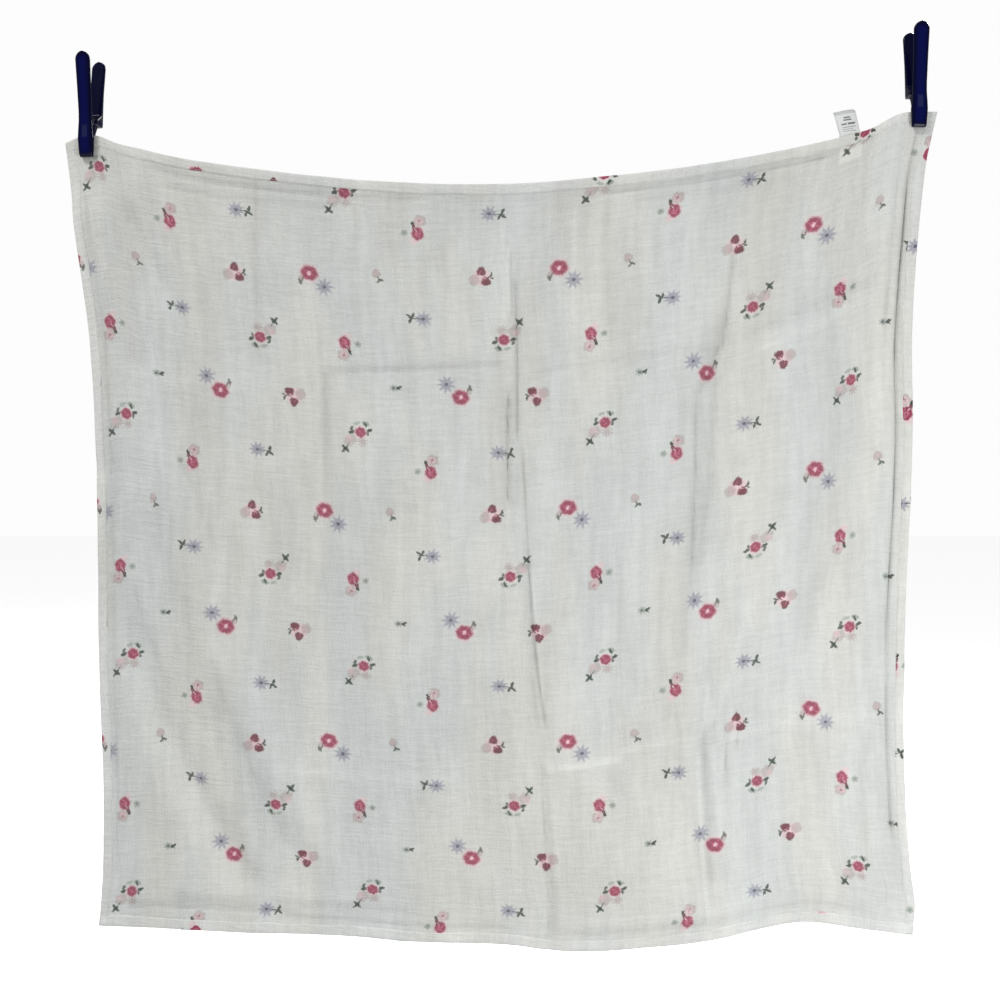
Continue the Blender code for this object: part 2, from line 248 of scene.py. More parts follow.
def outline_patch(s, t):
    """x and z at shares s of the width and t of the height: opposite edges blended, less corners."""
    top, bottom = along(TOP_EDGE, s), along(BOTTOM_EDGE, s)
    left, right = along(LEFT_EDGE, t), along(RIGHT_EDGE, t)
    s, t = s[..., None], t[..., None]
    corners = (
        (1 - s) * (1 - t) * np.array(TOP_EDGE[0])
        + s * (1 - t) * np.array(TOP_EDGE[-1])
        + (1 - s) * t * np.array(BOTTOM_EDGE[0])
        + s * t * np.array(BOTTOM_EDGE[-1])
    )
    return (1 - t) * top + t * bottom + (1 - s) * left + s * right - corners


def fold_depth(s, t):
    """Sum of the folds, bell-shaped across and dying away at their ends, and of the round swells."""
    depth = -TOP_ROLL * np.exp(-t / TOP_ROLL_SHARE)
    for start, end, from_s, to_s, bow, half, deep in np.array(FOLDS) / 1000:
        f = (t - start) / (end - start)
        middle = from_s + (to_s - from_s) * f + 4 * bow * f * (1 - f)
        ends = smooth_step(f / FOLD_FADE) * smooth_step((1 - f) / FOLD_FADE)
        depth = depth + deep * ends * np.exp(-(((s - middle) * HANG_WIDTH / half) ** 2))
    for s_mid, t_mid, s_half, t_half, deep in np.array(SWELLS) / 1000:
        depth = depth + deep * np.exp(-(((s - s_mid) / s_half) ** 2) - ((t - t_mid) / t_half) ** 2)
    return depth


def crease_depth(s, t):
    """Sum of the pressed lines: a peak across with hollow sides, walked from its start to its end."""
    depth = np.zeros_like(s)
    for s0, t0, s1, t1, bow, half, deep in np.array(CREASES) / 1000:
        level = abs(s1 - s0) > abs(t1 - t0)
        f = (s - s0) / (s1 - s0) if level else (t - t0) / (t1 - t0)
        line = (t0 + (t1 - t0) * f if level else s0 + (s1 - s0) * f) + 4 * bow * f * (1 - f)
        away = (t - line) * HANG_HEIGHT if level else (s - line) * HANG_WIDTH
        ends = smooth_step(f / CREASE_FADE) * smooth_step((1 - f) / CREASE_FADE)
        depth = depth + deep * ends * np.exp(-np.abs(away) / half)
    return depth


def crinkle(across, up, width, height, seed):
    """Random heights from -1 to 1 in columns of this width, each column's cells starting at its own
    level, joined by smooth S curves across and along. The cells repeat after CRINKLE_CELLS."""
    rng = np.random.default_rng(seed)
    cells = rng.uniform(-1.0, 1.0, (CRINKLE_CELLS, CRINKLE_CELLS))
    start = rng.uniform(0.0, 1.0, CRINKLE_CELLS)
    a = across / width
    i = np.floor(a).astype(int)
    sides = []
    for side in (i % CRINKLE_CELLS, (i + 1) % CRINKLE_CELLS):
        b = up / height + start[side]
        j = np.floor(b).astype(int)
        g = smooth_step(b - j)
        sides.append(
            cells[j % CRINKLE_CELLS, side] * (1 - g) + cells[(j + 1) % CRINKLE_CELLS, side] * g
        )
    f = smooth_step(a - i)
    return sides[0] * (1 - f) + sides[1] * f


def jaw_hold(across, up):
    """How firmly a clip holds the cloth flat here, 0 to 1, and the depth of the plane it holds."""
    held, plane = np.zeros_like(across), np.zeros_like(across)
    for x, z, turn in CLIPS.values():
        out_x = np.maximum(np.abs(across - x) - JAW_GRIP[0], 0.0)
        out_z = np.maximum(np.abs(up - z - JAW_BITE) - JAW_GRIP[1], 0.0)
        here = 1.0 - smooth_step(np.hypot(out_x, out_z) / JAW_FADE)
        plane = np.where(here > held, math.tan(math.radians(turn)) * (across - x), plane)
        held = np.maximum(held, here)
    return held, plane


def cloth_surface(s, t):
    """The sheet's middle surface: outline, folds, pressed lines and crinkles, flat in the jaws."""
    across, up = np.moveaxis(outline_patch(s, t), -1, 0)
    depth = fold_depth(s, t) + crease_depth(s, t)
    sway = CRINKLE_SWAY * crinkle(across, up, *SWAY_CELLS, 5)
    rise = CRINKLE_SWAY * crinkle(across, up, *SWAY_CELLS[::-1], 6)
    for number, (width, height, high) in enumerate(CRINKLES):
        depth = depth + high * crinkle(across + sway, up + rise, width, height, 11 + number)
    held, plane = jaw_hold(across, up)
    return np.stack([across, depth * (1.0 - held) + plane * held, up], axis=-1)


# The print lies in the flat cloth's own metres, U across and V down. The hanging cloth is drawn in
# at the sides and stretched down the middle, so the shares' squares and product come in.
def print_place(s, t):
    """U and V in metres on the flat cloth, at shares s of the width and t of the height."""
    across = 1.176 * s - 0.044 * s**2 - 0.030 * s * t - 0.008 * t + 0.009 * t**2 - 0.322
    down = t + 0.048 * t**2 + 0.097 * s - 0.053 * s**2 - 0.005 * s * t - 0.151
    return np.stack([across, down], axis=-1)


def grid_faces(rows, columns):
    """Quads over a grid of points, turned towards the viewer where rows run down it."""
    corner = np.arange((rows - 1) * columns).reshape(rows - 1, columns)[:, :-1].ravel()
    return np.stack([corner, corner + columns, corner + columns + 1, corner + 1], axis=1)


def placed(name, data):
    """An object of this mesh, lamp or camera, put into the scene at the origin."""
    made = bpy.data.objects.new(name, data)
    bpy.context.scene.collection.objects.link(made)
    return made


def mesh_piece(name, points, faces, uv=None, materials=()):
    """A mesh object from arrays of points and of equal-sided faces, with a UV map by point."""
    mesh = bpy.data.meshes.new(name)
    mesh.from_pydata(np.asarray(points).reshape(-1, 3), [], np.asarray(faces).tolist())
    if uv is not None:
        corners = np.zeros(len(mesh.loops), np.int32)
        mesh.loops.foreach_get("vertex_index", corners)
        layer = mesh.uv_layers.new(name="print")
        layer.data.foreach_set("uv", np.asarray(uv).reshape(-1, 2)[corners].astype(np.float32).ravel())
    mesh.shade_smooth()
    for look in materials:
        mesh.materials.append(look)
    return placed(name, mesh)


def add_values(piece, name, values):
    """A named number for each point of a piece, for its material to read."""
    layer = piece.data.attributes.new(name, "FLOAT", "POINT")
    layer.data.foreach_set("value", values.astype(np.float32).ravel())


def linear(red, green, blue):
    """A colour given as 0 to 255 on screen, in the light's own scale, with alpha."""
    shares = [value / 255 for value in (red, green, blue)]
    return (*[v / 12.92 if v <= 0.04045 else ((v + 0.055) / 1.055) ** 2.4 for v in shares], 1.0)


def new_look(name):
    """An empty material with its node tree and the inputs of its shader."""
    look = bpy.data.materials.new(name)
    look.use_nodes = True
    return look, look.node_tree, look.node_tree.nodes["Principled BSDF"].inputs


def node(tree, kind, inputs=(), **settings):
    """A shader node. inputs holds (socket, value or the output that feeds it)."""
    made = tree.nodes.new(kind)
    for key, value in settings.items():
        setattr(made, key, value)
    for socket, value in inputs:
        if isinstance(value, bpy.types.NodeSocket):
            tree.links.new(value, made.inputs[socket])
        else:
            made.inputs[socket].default_value = value
    return made


def maths(tree, operation, *values):
    """A sum on plain numbers, by one Math node."""
    return node(tree, "ShaderNodeMath", enumerate(values), operation=operation).outputs[0]


def vector_maths(tree, operation, *values):
    """A sum on places or colours; LENGTH gives a plain number."""
    made = node(tree, "ShaderNodeVectorMath", enumerate(values), operation=operation)
    return made.outputs["Value" if operation == "LENGTH" else "Vector"]


def ramp(tree, value, low, high, to_low=0.0, to_high=1.0):
    """The value carried smoothly from low..high to to_low..to_high, and held outside."""
    inputs = ((0, value), (1, low), (2, high), (3, to_low), (4, to_high))
    return node(tree, "ShaderNodeMapRange", inputs, interpolation_type="SMOOTHSTEP").outputs[0]


def mix(tree, share, first, second, blend="MIX"):
    """The first colour with this share of the second mixed or multiplied in."""
    inputs = ((0, share), (6, first), (7, second))
    return node(tree, "ShaderNodeMix", inputs, data_type="RGBA", blend_type=blend).outputs[2]


def bumped(tree, height, strength, distance):
    """A normal tilted by a height, by one Bump node."""
    inputs = (("Strength", strength), ("Distance", distance), ("Height", height))
    return node(tree, "ShaderNodeBump", inputs).outputs[0]


def noise(tree, place, scale, detail=2.0, roughness=0.5):
    """Noise from 0 to 1 in cells of 1 / scale metres, over two or three directions as scale has."""
    spread = vector_maths(tree, "MULTIPLY", place, (*scale, 1.0)[:3])
    inputs = (("Vector", spread), ("Scale", 1.0), ("Detail", detail), ("Roughness", roughness))
    return node(tree, "ShaderNodeTexNoise", inputs, noise_dimensions=f"{len(scale)}D").outputs


# The printed sprays. A repeat holds each spray twice, the second one turned half round. Places are
# millimetres right of and below the large flower, sizes half widths and half heights.
REPEAT = (0.331, 0.320)
PRINT_RAGGED = 0.0034  # how far the gauze's threads let the ink's edge stray (metres, both ways)
ROSE = linear(150, 50, 80)
BERRY = linear(112, 50, 62)
BLUSH = linear(234, 196, 202)
PETAL_PINK = linear(214, 122, 148)
PALE_PINK = linear(240, 204, 214)
LAVENDER = linear(146, 146, 164)
SEED = linear(88, 88, 102)
LEAF = linear(52, 66, 54)
PALE_LEAF = linear(150, 162, 150)
STONE = linear(178, 162, 160)

# Columns: x, y, half width, half height, turn (degrees), petals, depth between them, ink, cover.
LARGE_FLOWER = (
    (0.0, 0.0, 14.2, 12.8, 10, 6, 0.08, BLUSH, 0.60),
    (0.0, 0.0, 11.8, 10.2, 12, 6, 0.09, ROSE, 0.95),
    (-5.8, -2.6, 4.0, 0.6, 38, 0, 0.0, PETAL_PINK, 0.55),
    (5.4, -4.4, 4.2, 0.6, -46, 0, 0.0, PETAL_PINK, 0.50),
    (6.0, 3.6, 3.6, 0.6, 30, 0, 0.0, PETAL_PINK, 0.55),
    (-4.0, 5.4, 3.6, 0.6, -42, 0, 0.0, PETAL_PINK, 0.50),
    (-0.2, 0.2, 4.8, 4.2, 30, 5, 0.20, PETAL_PINK, 0.45),
    (-0.2, 0.4, 2.2, 3.0, 24, 0, 0.0, PALE_PINK, 0.85),
    (18.5, 18.0, 9.4, 9.0, 0, 9, 0.30, LAVENDER, 0.46),
    (18.5, 18.0, 12.8, 12.4, 0, 9, 0.46, LAVENDER, 0.52),
    (18.5, 18.0, 2.6, 2.3, 0, 0, 0.0, SEED, 0.85),
    (-12.4, 8.2, 4.2, 5.4, 20, 3, 0.12, STONE, 0.62),
    (-13.4, 12.2, 2.0, 4.2, -18, 0, 0.0, LEAF, 0.72),
    (-10.4, 9.4, 1.1, 4.4, 24, 0, 0.0, LEAF, 0.62),
)
BERRY_PAIR = (
    (-1.0, 0.5, 12.4, 11.6, 0, 5, 0.06, BLUSH, 0.62),
    (-11.2, 4.0, 7.4, 7.8, 20, 4, 0.10, STONE, 0.62),
    (-1.2, -6.8, 6.6, 6.3, -82, 3, 0.16, BERRY, 0.95),
    (4.4, 6.6, 7.0, 6.3, 24, 3, 0.16, BERRY, 0.97),
    (0.4, 0.4, 0.9, 6.0, -58, 0, 0.0, PALE_PINK, 0.85),
    (2.4, 3.6, 0.7, 3.4, 40, 0, 0.0, PETAL_PINK, 0.60),
    (-2.6, -5.6, 0.7, 3.2, 30, 0, 0.0, PETAL_PINK, 0.45),
    (10.6, 0.2, 3.8, 1.0, -30, 0, 0.0, LEAF, 0.85),
    (11.8, -2.4, 2.8, 1.4, -62, 0, 0.0, LEAF, 0.85),
    (12.4, 2.6, 2.6, 1.3, 20, 0, 0.0, LEAF, 0.80),
)
POSY = (
    (14.5, -11.0, 10.2, 8.0, -28, 5, 0.16, STONE, 0.58),
    (17.0, -8.0, 5.2, 4.6, 30, 4, 0.16, BLUSH, 0.35),
    (-2.0, -13.0, 8.2, 7.0, 0, 9, 0.55, STONE, 0.66),
    (-7.6, 12.0, 5.6, 2.9, 20, 0, 0.0, PALE_LEAF, 0.82),
    (4.2, 12.0, 5.0, 2.3, -16, 0, 0.0, PALE_LEAF, 0.66),
    (-12.0, 2.4, 4.8, 2.2, -20, 0, 0.0, LEAF, 0.94),
    (-9.4, -1.8, 2.0, 3.2, -24, 0, 0.0, LEAF, 0.88),
    (-7.2, 10.4, 1.8, 3.8, -24, 0, 0.0, LEAF, 0.88),
    (11.8, 0.2, 4.6, 2.3, -18, 0, 0.0, LEAF, 0.95),
    (12.0, 5.2, 1.9, 3.4, 32, 0, 0.0, LEAF, 0.84),
    (0.0, 0.0, 9.2, 8.8, 0, 6, 0.06, BLUSH, 0.62),
    (0.0, 0.0, 7.6, 7.4, 20, 6, 0.10, ROSE, 0.95),
    (-1.2, -1.6, 3.4, 0.8, -24, 0, 0.0, PETAL_PINK, 0.60),
    (1.8, 2.0, 3.0, 0.8, 40, 0, 0.0, PETAL_PINK, 0.55),
    (21.5, -22.5, 6.8, 2.1, 44, 0, 0.0, LEAF, 0.92),
    (22.5, -23.5, 6.0, 1.9, -46, 0, 0.0, LEAF, 0.90),
    (17.6, -17.0, 0.7, 4.0, 40, 0, 0.0, LEAF, 0.75),
)
ROSE_SPRAY = (
    (5.0, -9.5, 6.0, 5.0, 0, 4, 0.14, BLUSH, 0.45),
    (17.6, 1.5, 4.8, 4.4, -20, 5, 0.14, PALE_LEAF, 0.70),
    (17.6, 1.5, 1.6, 1.4, 0, 0, 0.0, SEED, 0.50),
    (-3.0, 16.6, 9.0, 8.2, 0, 5, 0.16, STONE, 0.66),
    (-2.0, 16.0, 6.0, 5.6, 30, 5, 0.22, BLUSH, 0.50),
    (-2.5, 17.0, 0.7, 4.0, 20, 0, 0.0, BERRY, 0.62),
    (-2.5, 17.0, 3.6, 0.7, 14, 0, 0.0, BERRY, 0.55),
    (0.0, 0.0, 9.6, 10.4, 0, 5, 0.06, BLUSH, 0.62),
    (0.0, 0.0, 8.0, 9.2, -14, 5, 0.10, ROSE, 0.95),
    (5.4, 9.4, 2.3, 6.0, -16, 0, 0.0, BERRY, 0.92),
    (6.6, 13.6, 2.0, 2.8, -30, 0, 0.0, LEAF, 0.90),
    (0.2, -3.4, 4.4, 0.8, 24, 0, 0.0, PETAL_PINK, 0.65),
    (-3.2, 1.6, 0.8, 4.0, 18, 0, 0.0, PETAL_PINK, 0.60),
    (1.4, 0.4, 2.4, 2.0, 30, 0, 0.0, PETAL_PINK, 0.70),
    (3.0, 5.0, 0.8, 3.2, -40, 0, 0.0, PALE_PINK, 0.70),
)
DAISY_SPRIG = (
    (9.0, 1.6, 9.2, 8.0, 0, 9, 0.28, LAVENDER, 0.46),
    (9.0, 1.6, 12.2, 10.6, 0, 9, 0.44, LAVENDER, 0.52),
    (9.0, 1.6, 2.6, 2.2, 0, 0, 0.0, SEED, 0.85),
    (-3.0, 0.4, 8.6, 0.7, 6, 0, 0.0, LEAF, 0.85),
    (-9.6, -2.8, 4.6, 1.5, 32, 0, 0.0, LEAF, 0.93),
    (-8.6, 3.6, 2.0, 4.0, 24, 0, 0.0, LEAF, 0.93),
    (-4.4, -3.4, 1.8, 3.8, 22, 0, 0.0, LEAF, 0.90),
)
PALE_BUD = (
    (-1.0, -4.0, 6.2, 6.4, 10, 3, 0.14, STONE, 0.72),
    (-0.6, -5.4, 3.2, 3.0, 0, 0, 0.0, BLUSH, 0.15),
    (1.6, 3.2, 1.0, 4.6, -18, 0, 0.0, LEAF, 0.70),
    (4.8, 4.4, 3.6, 1.6, 24, 0, 0.0, LEAF, 0.85),
    (0.6, 6.6, 2.6, 1.3, -50, 0, 0.0, LEAF, 0.75),
)
SMALL_DAISY = (
    (-2.0, 0.0, 6.0, 5.2, 0, 7, 0.34, PALE_LEAF, 0.72),
    (-2.0, 0.2, 2.4, 2.0, 0, 0, 0.0, SEED, 0.80),
    (5.4, -0.6, 4.2, 1.9, -26, 0, 0.0, LEAF, 0.94),
    (5.0, 1.6, 3.0, 1.1, 20, 0, 0.0, LEAF, 0.80),
)
# Each spray with its places in the repeat (millimetres); a second one is turned half round.
SPRAYS = (
    (LARGE_FLOWER, (0, 0), (-139, 165)),
    (BERRY_PAIR, (-101, 4), (-38, 168)),
    (POSY, (-77, 90), (53, 212)),
    (ROSE_SPRAY, (39, 92), (147, 265)),
    (DAISY_SPRIG, (139, 57), (-83, 243)),
    (PALE_BUD, (91, 2)),
    (SMALL_DAISY, (104, 151)),
)


def print_group():
    """The print as a node group. Each shape is a turned ellipse, its edge drawn in between petals
    by the cosine of its angle, inked over the ground in the order of its table."""
    tree = bpy.data.node_groups.new("printed_sprays", "ShaderNodeTree")
    for name, kind in (("Place", "Vector"), ("Ground", "Color"), ("Blur", "Float"), ("Ink", "Float")):
        tree.interface.new_socket(name, in_out="INPUT", socket_type="NodeSocket" + kind)
    tree.interface.new_socket("Colour", in_out="OUTPUT", socket_type="NodeSocketColor")
    start = node(tree, "NodeGroupInput").outputs
    ragged = noise(tree, start["Place"], (420.0, 420.0), 2.0)["Color"]
    shift = vector_maths(tree, "SUBTRACT", ragged, (0.5, 0.5, 0.5))
    shift = vector_maths(tree, "MULTIPLY", shift, (PRINT_RAGGED, PRINT_RAGGED, 0.0))
    place = vector_maths(tree, "ADD", start["Place"], shift)
    high = (REPEAT[0] / 2, REPEAT[1] / 2, 0.5)
    low = (-REPEAT[0] / 2, -REPEAT[1] / 2, -0.5)
    soft_in = maths(tree, "SUBTRACT", 1.0, start["Blur"])
    soft_out = maths(tree, "ADD", 1.0, start["Blur"])
    colour = start["Ground"]
    for shapes, *places in SPRAYS:
        spots = [
            vector_maths(
                tree, "WRAP",
                vector_maths(tree, "SUBTRACT", place, (x / 1000, y / 1000, 0.0)), high, low,
            )
            for x, y in places
        ]
        spot = spots[0]
        if len(spots) == 2:
            turned = vector_maths(tree, "MULTIPLY", spots[1], (-1.0, -1.0, 1.0))
            nearer = maths(
                tree, "LESS_THAN",
                vector_maths(tree, "LENGTH", turned), vector_maths(tree, "LENGTH", spot),
            )
            spot = node(
                tree, "ShaderNodeMix", ((0, nearer), (4, spot), (5, turned)), data_type="VECTOR"
            ).outputs[1]
        for x, y, half_x, half_y, turn, petals, depth, ink, cover in shapes:
            local = node(
                tree, "ShaderNodeMapping",
                (
                    (0, spot),
                    (1, (x / 1000, y / 1000, 0.0)),
                    (2, (0.0, 0.0, math.radians(turn))),
                    (3, (half_x / 1000, half_y / 1000, 1.0)),
                ),
                vector_type="TEXTURE",
            ).outputs[0]
            far = vector_maths(tree, "LENGTH", local)
            if petals:
                part = node(tree, "ShaderNodeSeparateXYZ", ((0, local),)).outputs
                angle = maths(tree, "ARCTAN2", part[1], part[0])
                wave = maths(tree, "COSINE", maths(tree, "MULTIPLY", angle, float(petals)))
                edge = maths(tree, "MULTIPLY_ADD", wave, depth / 2, 1.0 - depth / 2)
                far = maths(tree, "DIVIDE", far, edge)
            colour = mix(tree, ramp(tree, far, soft_in, soft_out, cover, 0.0), colour, ink)
    end = node(tree, "NodeGroupOutput")
    tree.links.new(mix(tree, start["Ink"], start["Ground"], colour), end.inputs["Colour"])
    return tree


THREADS = 1500.0  # threads to the metre in each gauze layer
GAUZE_DARKEST = 0.780  # share of its colour that the gauze keeps where every streak is at its darkest
GAUZE_BUMP = 0.0022  # height of the streaks and threads that the bump stands for (metres)
# The label's lower half, sewn behind the cloth, shows through paler: painted light, mixed into the near
# side's colour. Its middle as shares of the width and height, its half width and half height (metres)
# on the flat cloth, and its turn.
LABEL_BEHIND = (0.8990, 0.0215)
LABEL_HALVES = (0.0150, 0.0130)
LABEL_TURN = math.radians(-6)
LABEL_GLOW = 0.55
BACKED_WHITE = linear(238, 238, 230)


def label_patch(tree, place):
    """1 where the label lies behind the cloth and 0 elsewhere, from a place on the flat cloth."""
    middle = print_place(*LABEL_BEHIND)
    local = node(
        tree, "ShaderNodeMapping",
        ((0, place), (1, (*middle, 0.0)), (2, (0.0, 0.0, LABEL_TURN)), (3, (*LABEL_HALVES, 1.0))),
        vector_type="TEXTURE",
    ).outputs[0]
    part = node(tree, "ShaderNodeSeparateXYZ", ((0, local),)).outputs
    sides = [ramp(tree, maths(tree, "ABSOLUTE", part[axis]), 0.90, 1.10, 1.0, 0.0) for axis in (0, 1)]
    return maths(tree, "MULTIPLY", *sides)


def gauze_material(name, cool, warm, print_tree=None, blur=0.0, ink=0.0, near=True):
    """Crinkled gauze: a ground with the weave's uneven tone and painted shade along the crinkles'
    streaks, darkened in the pressed lines by painted shade and lightened on their ridges by painted
    light, printed where there is a print, with the streaks, the slubs and the crossing threads as bump."""
    look, tree, shader = new_look(name)
    place = node(tree, "ShaderNodeUVMap", uv_map="print").outputs[0]
    sway = noise(tree, place, (24.0, 20.0), 1.0)["Color"]
    sway = vector_maths(tree, "SUBTRACT", sway, (0.5, 0.5, 0.5))
    bent = vector_maths(tree, "ADD", place, vector_maths(tree, "MULTIPLY", sway, (0.008, 0.006, 0.0)))
    streaks = noise(tree, bent, (75.0, 9.0), 4.0, 0.70)[0]
    slubs = noise(tree, bent, (22.0, 230.0), 2.0, 0.66)[0]
    grain = noise(tree, place, (520.0, 430.0), 2.0, 0.7)[0]
    runs_down = noise(tree, place, (800.0, 60.0), 1.0)[0]
    runs_across = noise(tree, place, (60.0, 800.0), 1.0)[0]
    broad = noise(tree, place, (14.0, 4.0), 3.0, 0.6)[0]
    warmth = noise(tree, place, (9.0, 2.0), 2.0)[0]
    part = node(tree, "ShaderNodeSeparateXYZ", ((0, place),)).outputs
    warp, weft = (
        maths(tree, "SINE", maths(tree, "MULTIPLY", part[axis], 2 * math.pi * THREADS))
        for axis in (0, 1)
    )
    threads = maths(tree, "MAXIMUM", warp, weft)
    height = streaks
    for pattern, share in ((slubs, 0.60), (grain, 0.45), (threads, 0.03)):
        height = maths(tree, "MULTIPLY_ADD", pattern, share, height)
    # Painted shade: the streaks' share darkens the ground where the crinkles' bump sinks and lightens
    # it where it rises; the other shares are the weave's own uneven tone.
    tone_and_painted_shade = GAUZE_DARKEST
    for pattern, share in (
        (ramp(tree, streaks, 0.28, 0.72), 0.095),
        (ramp(tree, slubs, 0.30, 0.70), 0.060),
        (ramp(tree, broad, 0.32, 0.68), 0.085),
        (grain, 0.190),
        (runs_down, 0.080),
        (runs_across, 0.100),
        (threads, 0.012),
    ):
        tone_and_painted_shade = maths(tree, "MULTIPLY_ADD", pattern, share, tone_and_painted_shade)
    # Painted shade in the pressed lines and painted light on their ridges, read from the sheet.
    crease_painted_shade = node(tree, "ShaderNodeAttribute", attribute_name="crease_painted_shade").outputs["Fac"]
    tone_and_painted_shade = maths(tree, "SUBTRACT", tone_and_painted_shade, crease_painted_shade)
    colour = mix(tree, ramp(tree, warmth, 0.35, 0.65), cool, warm)
    if near:
        glow = maths(tree, "MULTIPLY", label_patch(tree, place), LABEL_GLOW)
        colour = mix(tree, glow, colour, BACKED_WHITE)
    if print_tree:
        colour = node(
            tree, "ShaderNodeGroup",
            (("Place", place), ("Ground", colour), ("Blur", blur), ("Ink", ink)),
            node_tree=print_tree,
        ).outputs[0]
    grey = node(tree, "ShaderNodeCombineColor", ((0, tone_and_painted_shade), (1, tone_and_painted_shade), (2, tone_and_painted_shade))).outputs[0]
    tree.links.new(mix(tree, 1.0, colour, grey, "MULTIPLY"), shader["Base Color"])
    tree.links.new(bumped(tree, height, 0.75, GAUZE_BUMP), shader["Normal"])
    shader["Roughness"].default_value = 0.92
    shader["Specular IOR Level"].default_value = 0.15
    shader["Sheen Weight"].default_value = 0.12
    shader["Sheen Roughness"].default_value = 0.6
    return look


sprays = print_group()
# The near side's ground is painted a little darker than the right side's: painted shade of darker
# surroundings seen through the single sheet, where the doubled hems show lighter.
NEAR_SHADED_COOL = linear(210, 213, 211)
NEAR_SHADED_WARM = linear(213, 213, 208)
RIGHT_COOL = linear(218, 220, 218)
RIGHT_WARM = linear(221, 221, 216)
near_plain = gauze_material("gauze_near_side_plain", NEAR_SHADED_COOL, NEAR_SHADED_WARM)
near_side = gauze_material("gauze_near_side", NEAR_SHADED_COOL, NEAR_SHADED_WARM, sprays, 0.22, 0.93)
right_plain = gauze_material("gauze_right_side_plain", RIGHT_COOL, RIGHT_WARM, near=False)
right_side = gauze_material(
    "gauze_right_side", RIGHT_COOL, RIGHT_WARM, sprays, 0.10, 1.00, near=False
)

# The grid is finer where the pressed lines are. Columns: share where it is finest, share that it
# spreads to on both sides, spacing there as a share of what it is elsewhere. The columns at the
# centre pleat lean to the right on their way down, as it does.
PLEAT_DRIFT = 0.033
PLEAT_LEAN = (0.35, 0.72)
FINER_COLUMNS = (
    (0.016, 0.008, 0.40), (0.215, 0.014, 0.65), (0.283, 0.010, 0.60), (0.516, 0.030, 0.36),
    (0.718, 0.022, 0.60), (0.770, 0.020, 0.60), (0.982, 0.010, 0.30),
)
FINER_ROWS = ((0.018, 0.014, 0.45), (0.245, 0.030, 0.45), (0.758, 0.025, 0.45), (0.980, 0.016, 0.45))
CREASE_PAINTED_SHADE = 0.052  # painted shade: share of the colour taken away in a pressed line 1 mm deep
CREASE_PAINTED_MOST = 0.30  # and the most painted shade that any crease takes, or painted light that a ridge gives
PRINT_MARGIN = 7.0  # millimetres round a spray that still take the printed material
PETAL_REACH = 1.2  # how far a shape may reach past its half width, turned and ragged


def spaced(count, finer):
    """Shares from 0 to 1, as many as count, whose spacing dips in a bell round each finer place."""
    even = np.linspace(0.0, 1.0, 4000)
    spacing = np.ones_like(even)
    for middle, reach, dip in finer:
        spacing = spacing * (1.0 - (1.0 - dip) * np.exp(-(((even - middle) / reach) ** 2)))
    counted = np.concatenate([[0.0], np.cumsum(0.5 / spacing[1:] + 0.5 / spacing[:-1])])
    return np.interp(np.linspace(0.0, counted[-1], count), counted, even)


def near_spray(places):
    """Whether each place on the flat cloth is as near to a spray, in any repeat, as its reach."""
    near = np.zeros(places.shape[:-1], bool)
    for shapes, *spots in SPRAYS:
        reach = max(
            math.hypot(x, y) + PETAL_REACH * max(half_x, half_y) for x, y, half_x, half_y, *_ in shapes
        )
        for spot in spots:
            away = places - np.array(spot) / 1000
            away = away - np.round(away / REPEAT) * REPEAT
            near |= np.linalg.norm(away, axis=-1) < (reach + PRINT_MARGIN) / 1000
    return near


u, t = np.meshgrid(spaced(SHEET_COLUMNS, FINER_COLUMNS), spaced(SHEET_ROWS, FINER_ROWS))
lean = smooth_step((t - PLEAT_LEAN[0]) / (PLEAT_LEAN[1] - PLEAT_LEAN[0]))
s = u + PLEAT_DRIFT * lean * np.sin(math.pi * u) ** 2
flat = print_place(s, t)
faces = grid_faces(*s.shape)
sheet = mesh_piece(
    "gauze_sheet", cloth_surface(s, t), faces, flat, (near_plain, near_side, right_plain, right_side)
)
printed = near_spray(flat.reshape(-1, 2)[faces].mean(axis=1))
sheet.data.polygons.foreach_set("material_index", printed.astype(np.int32))
# Painted shade: each pressed line's depth, as a share of colour taken away in its valley and given back
# on its ridge.
crease_painted_shade = np.clip(crease_depth(s, t) * 1000 * CREASE_PAINTED_SHADE, -CREASE_PAINTED_MOST, CREASE_PAINTED_MOST)
add_values(sheet, "crease_painted_shade", crease_painted_shade)
layers = sheet.modifiers.new("thickness", "SOLIDIFY")
layers.thickness = SHEET_THICKNESS
layers.offset = 0.0
layers.material_offset = 2
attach(sheet, "root")
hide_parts("blanket_cloth")

# ---------------------------------------------------------------------------------------------------
# The hems. Each side of the gauze is turned twice to the near side, so that a narrow band of the
# right side shows along every edge, thicker than the sheet and slightly puckered by its stitching.

HEM_SECTIONS = 420
HEM_WAVER = 0.10  # share by which the band's width wavers
WAVER_LENGTH = 0.030
HEM_PUCKER = 0.22  # share by which its height rises and falls between stitches
PUCKER_LENGTH = 0.0085
PUCKER_SLANT = 0.4
HEM_LAP = 0.35  # share that it swells by where two hems lap at a corner
LAP_LENGTH = 0.012
HEM_PRESSED = 0.40  # share of its height that it loses between the jaws
WHOLE_LENGTH = 10.0  # longer than any side, so that each random height stays the same over a side
# The band's section, walked round: distance in from the edge, height off the sheet's middle
# surface towards the viewer, and distance of the same threads from the edge (all millimetres).
HEM_SECTION = (
    (13.0, 0.30, -13.0), (12.8, 0.85, -12.8), (12.0, 1.20, -12.0), (10.6, 1.30, -10.6),
    (8.0, 1.42, -8.0), (5.0, 1.45, -5.0), (2.2, 1.40, -2.2), (0.6, 1.20, -0.6),
    (-0.3, 0.75, 0.0), (-0.6, 0.10, 0.4), (-0.3, -0.45, 0.8), (0.6, -0.68, 1.2),
    (2.0, -0.60, 2.4), (2.6, -0.30, 3.0),
)
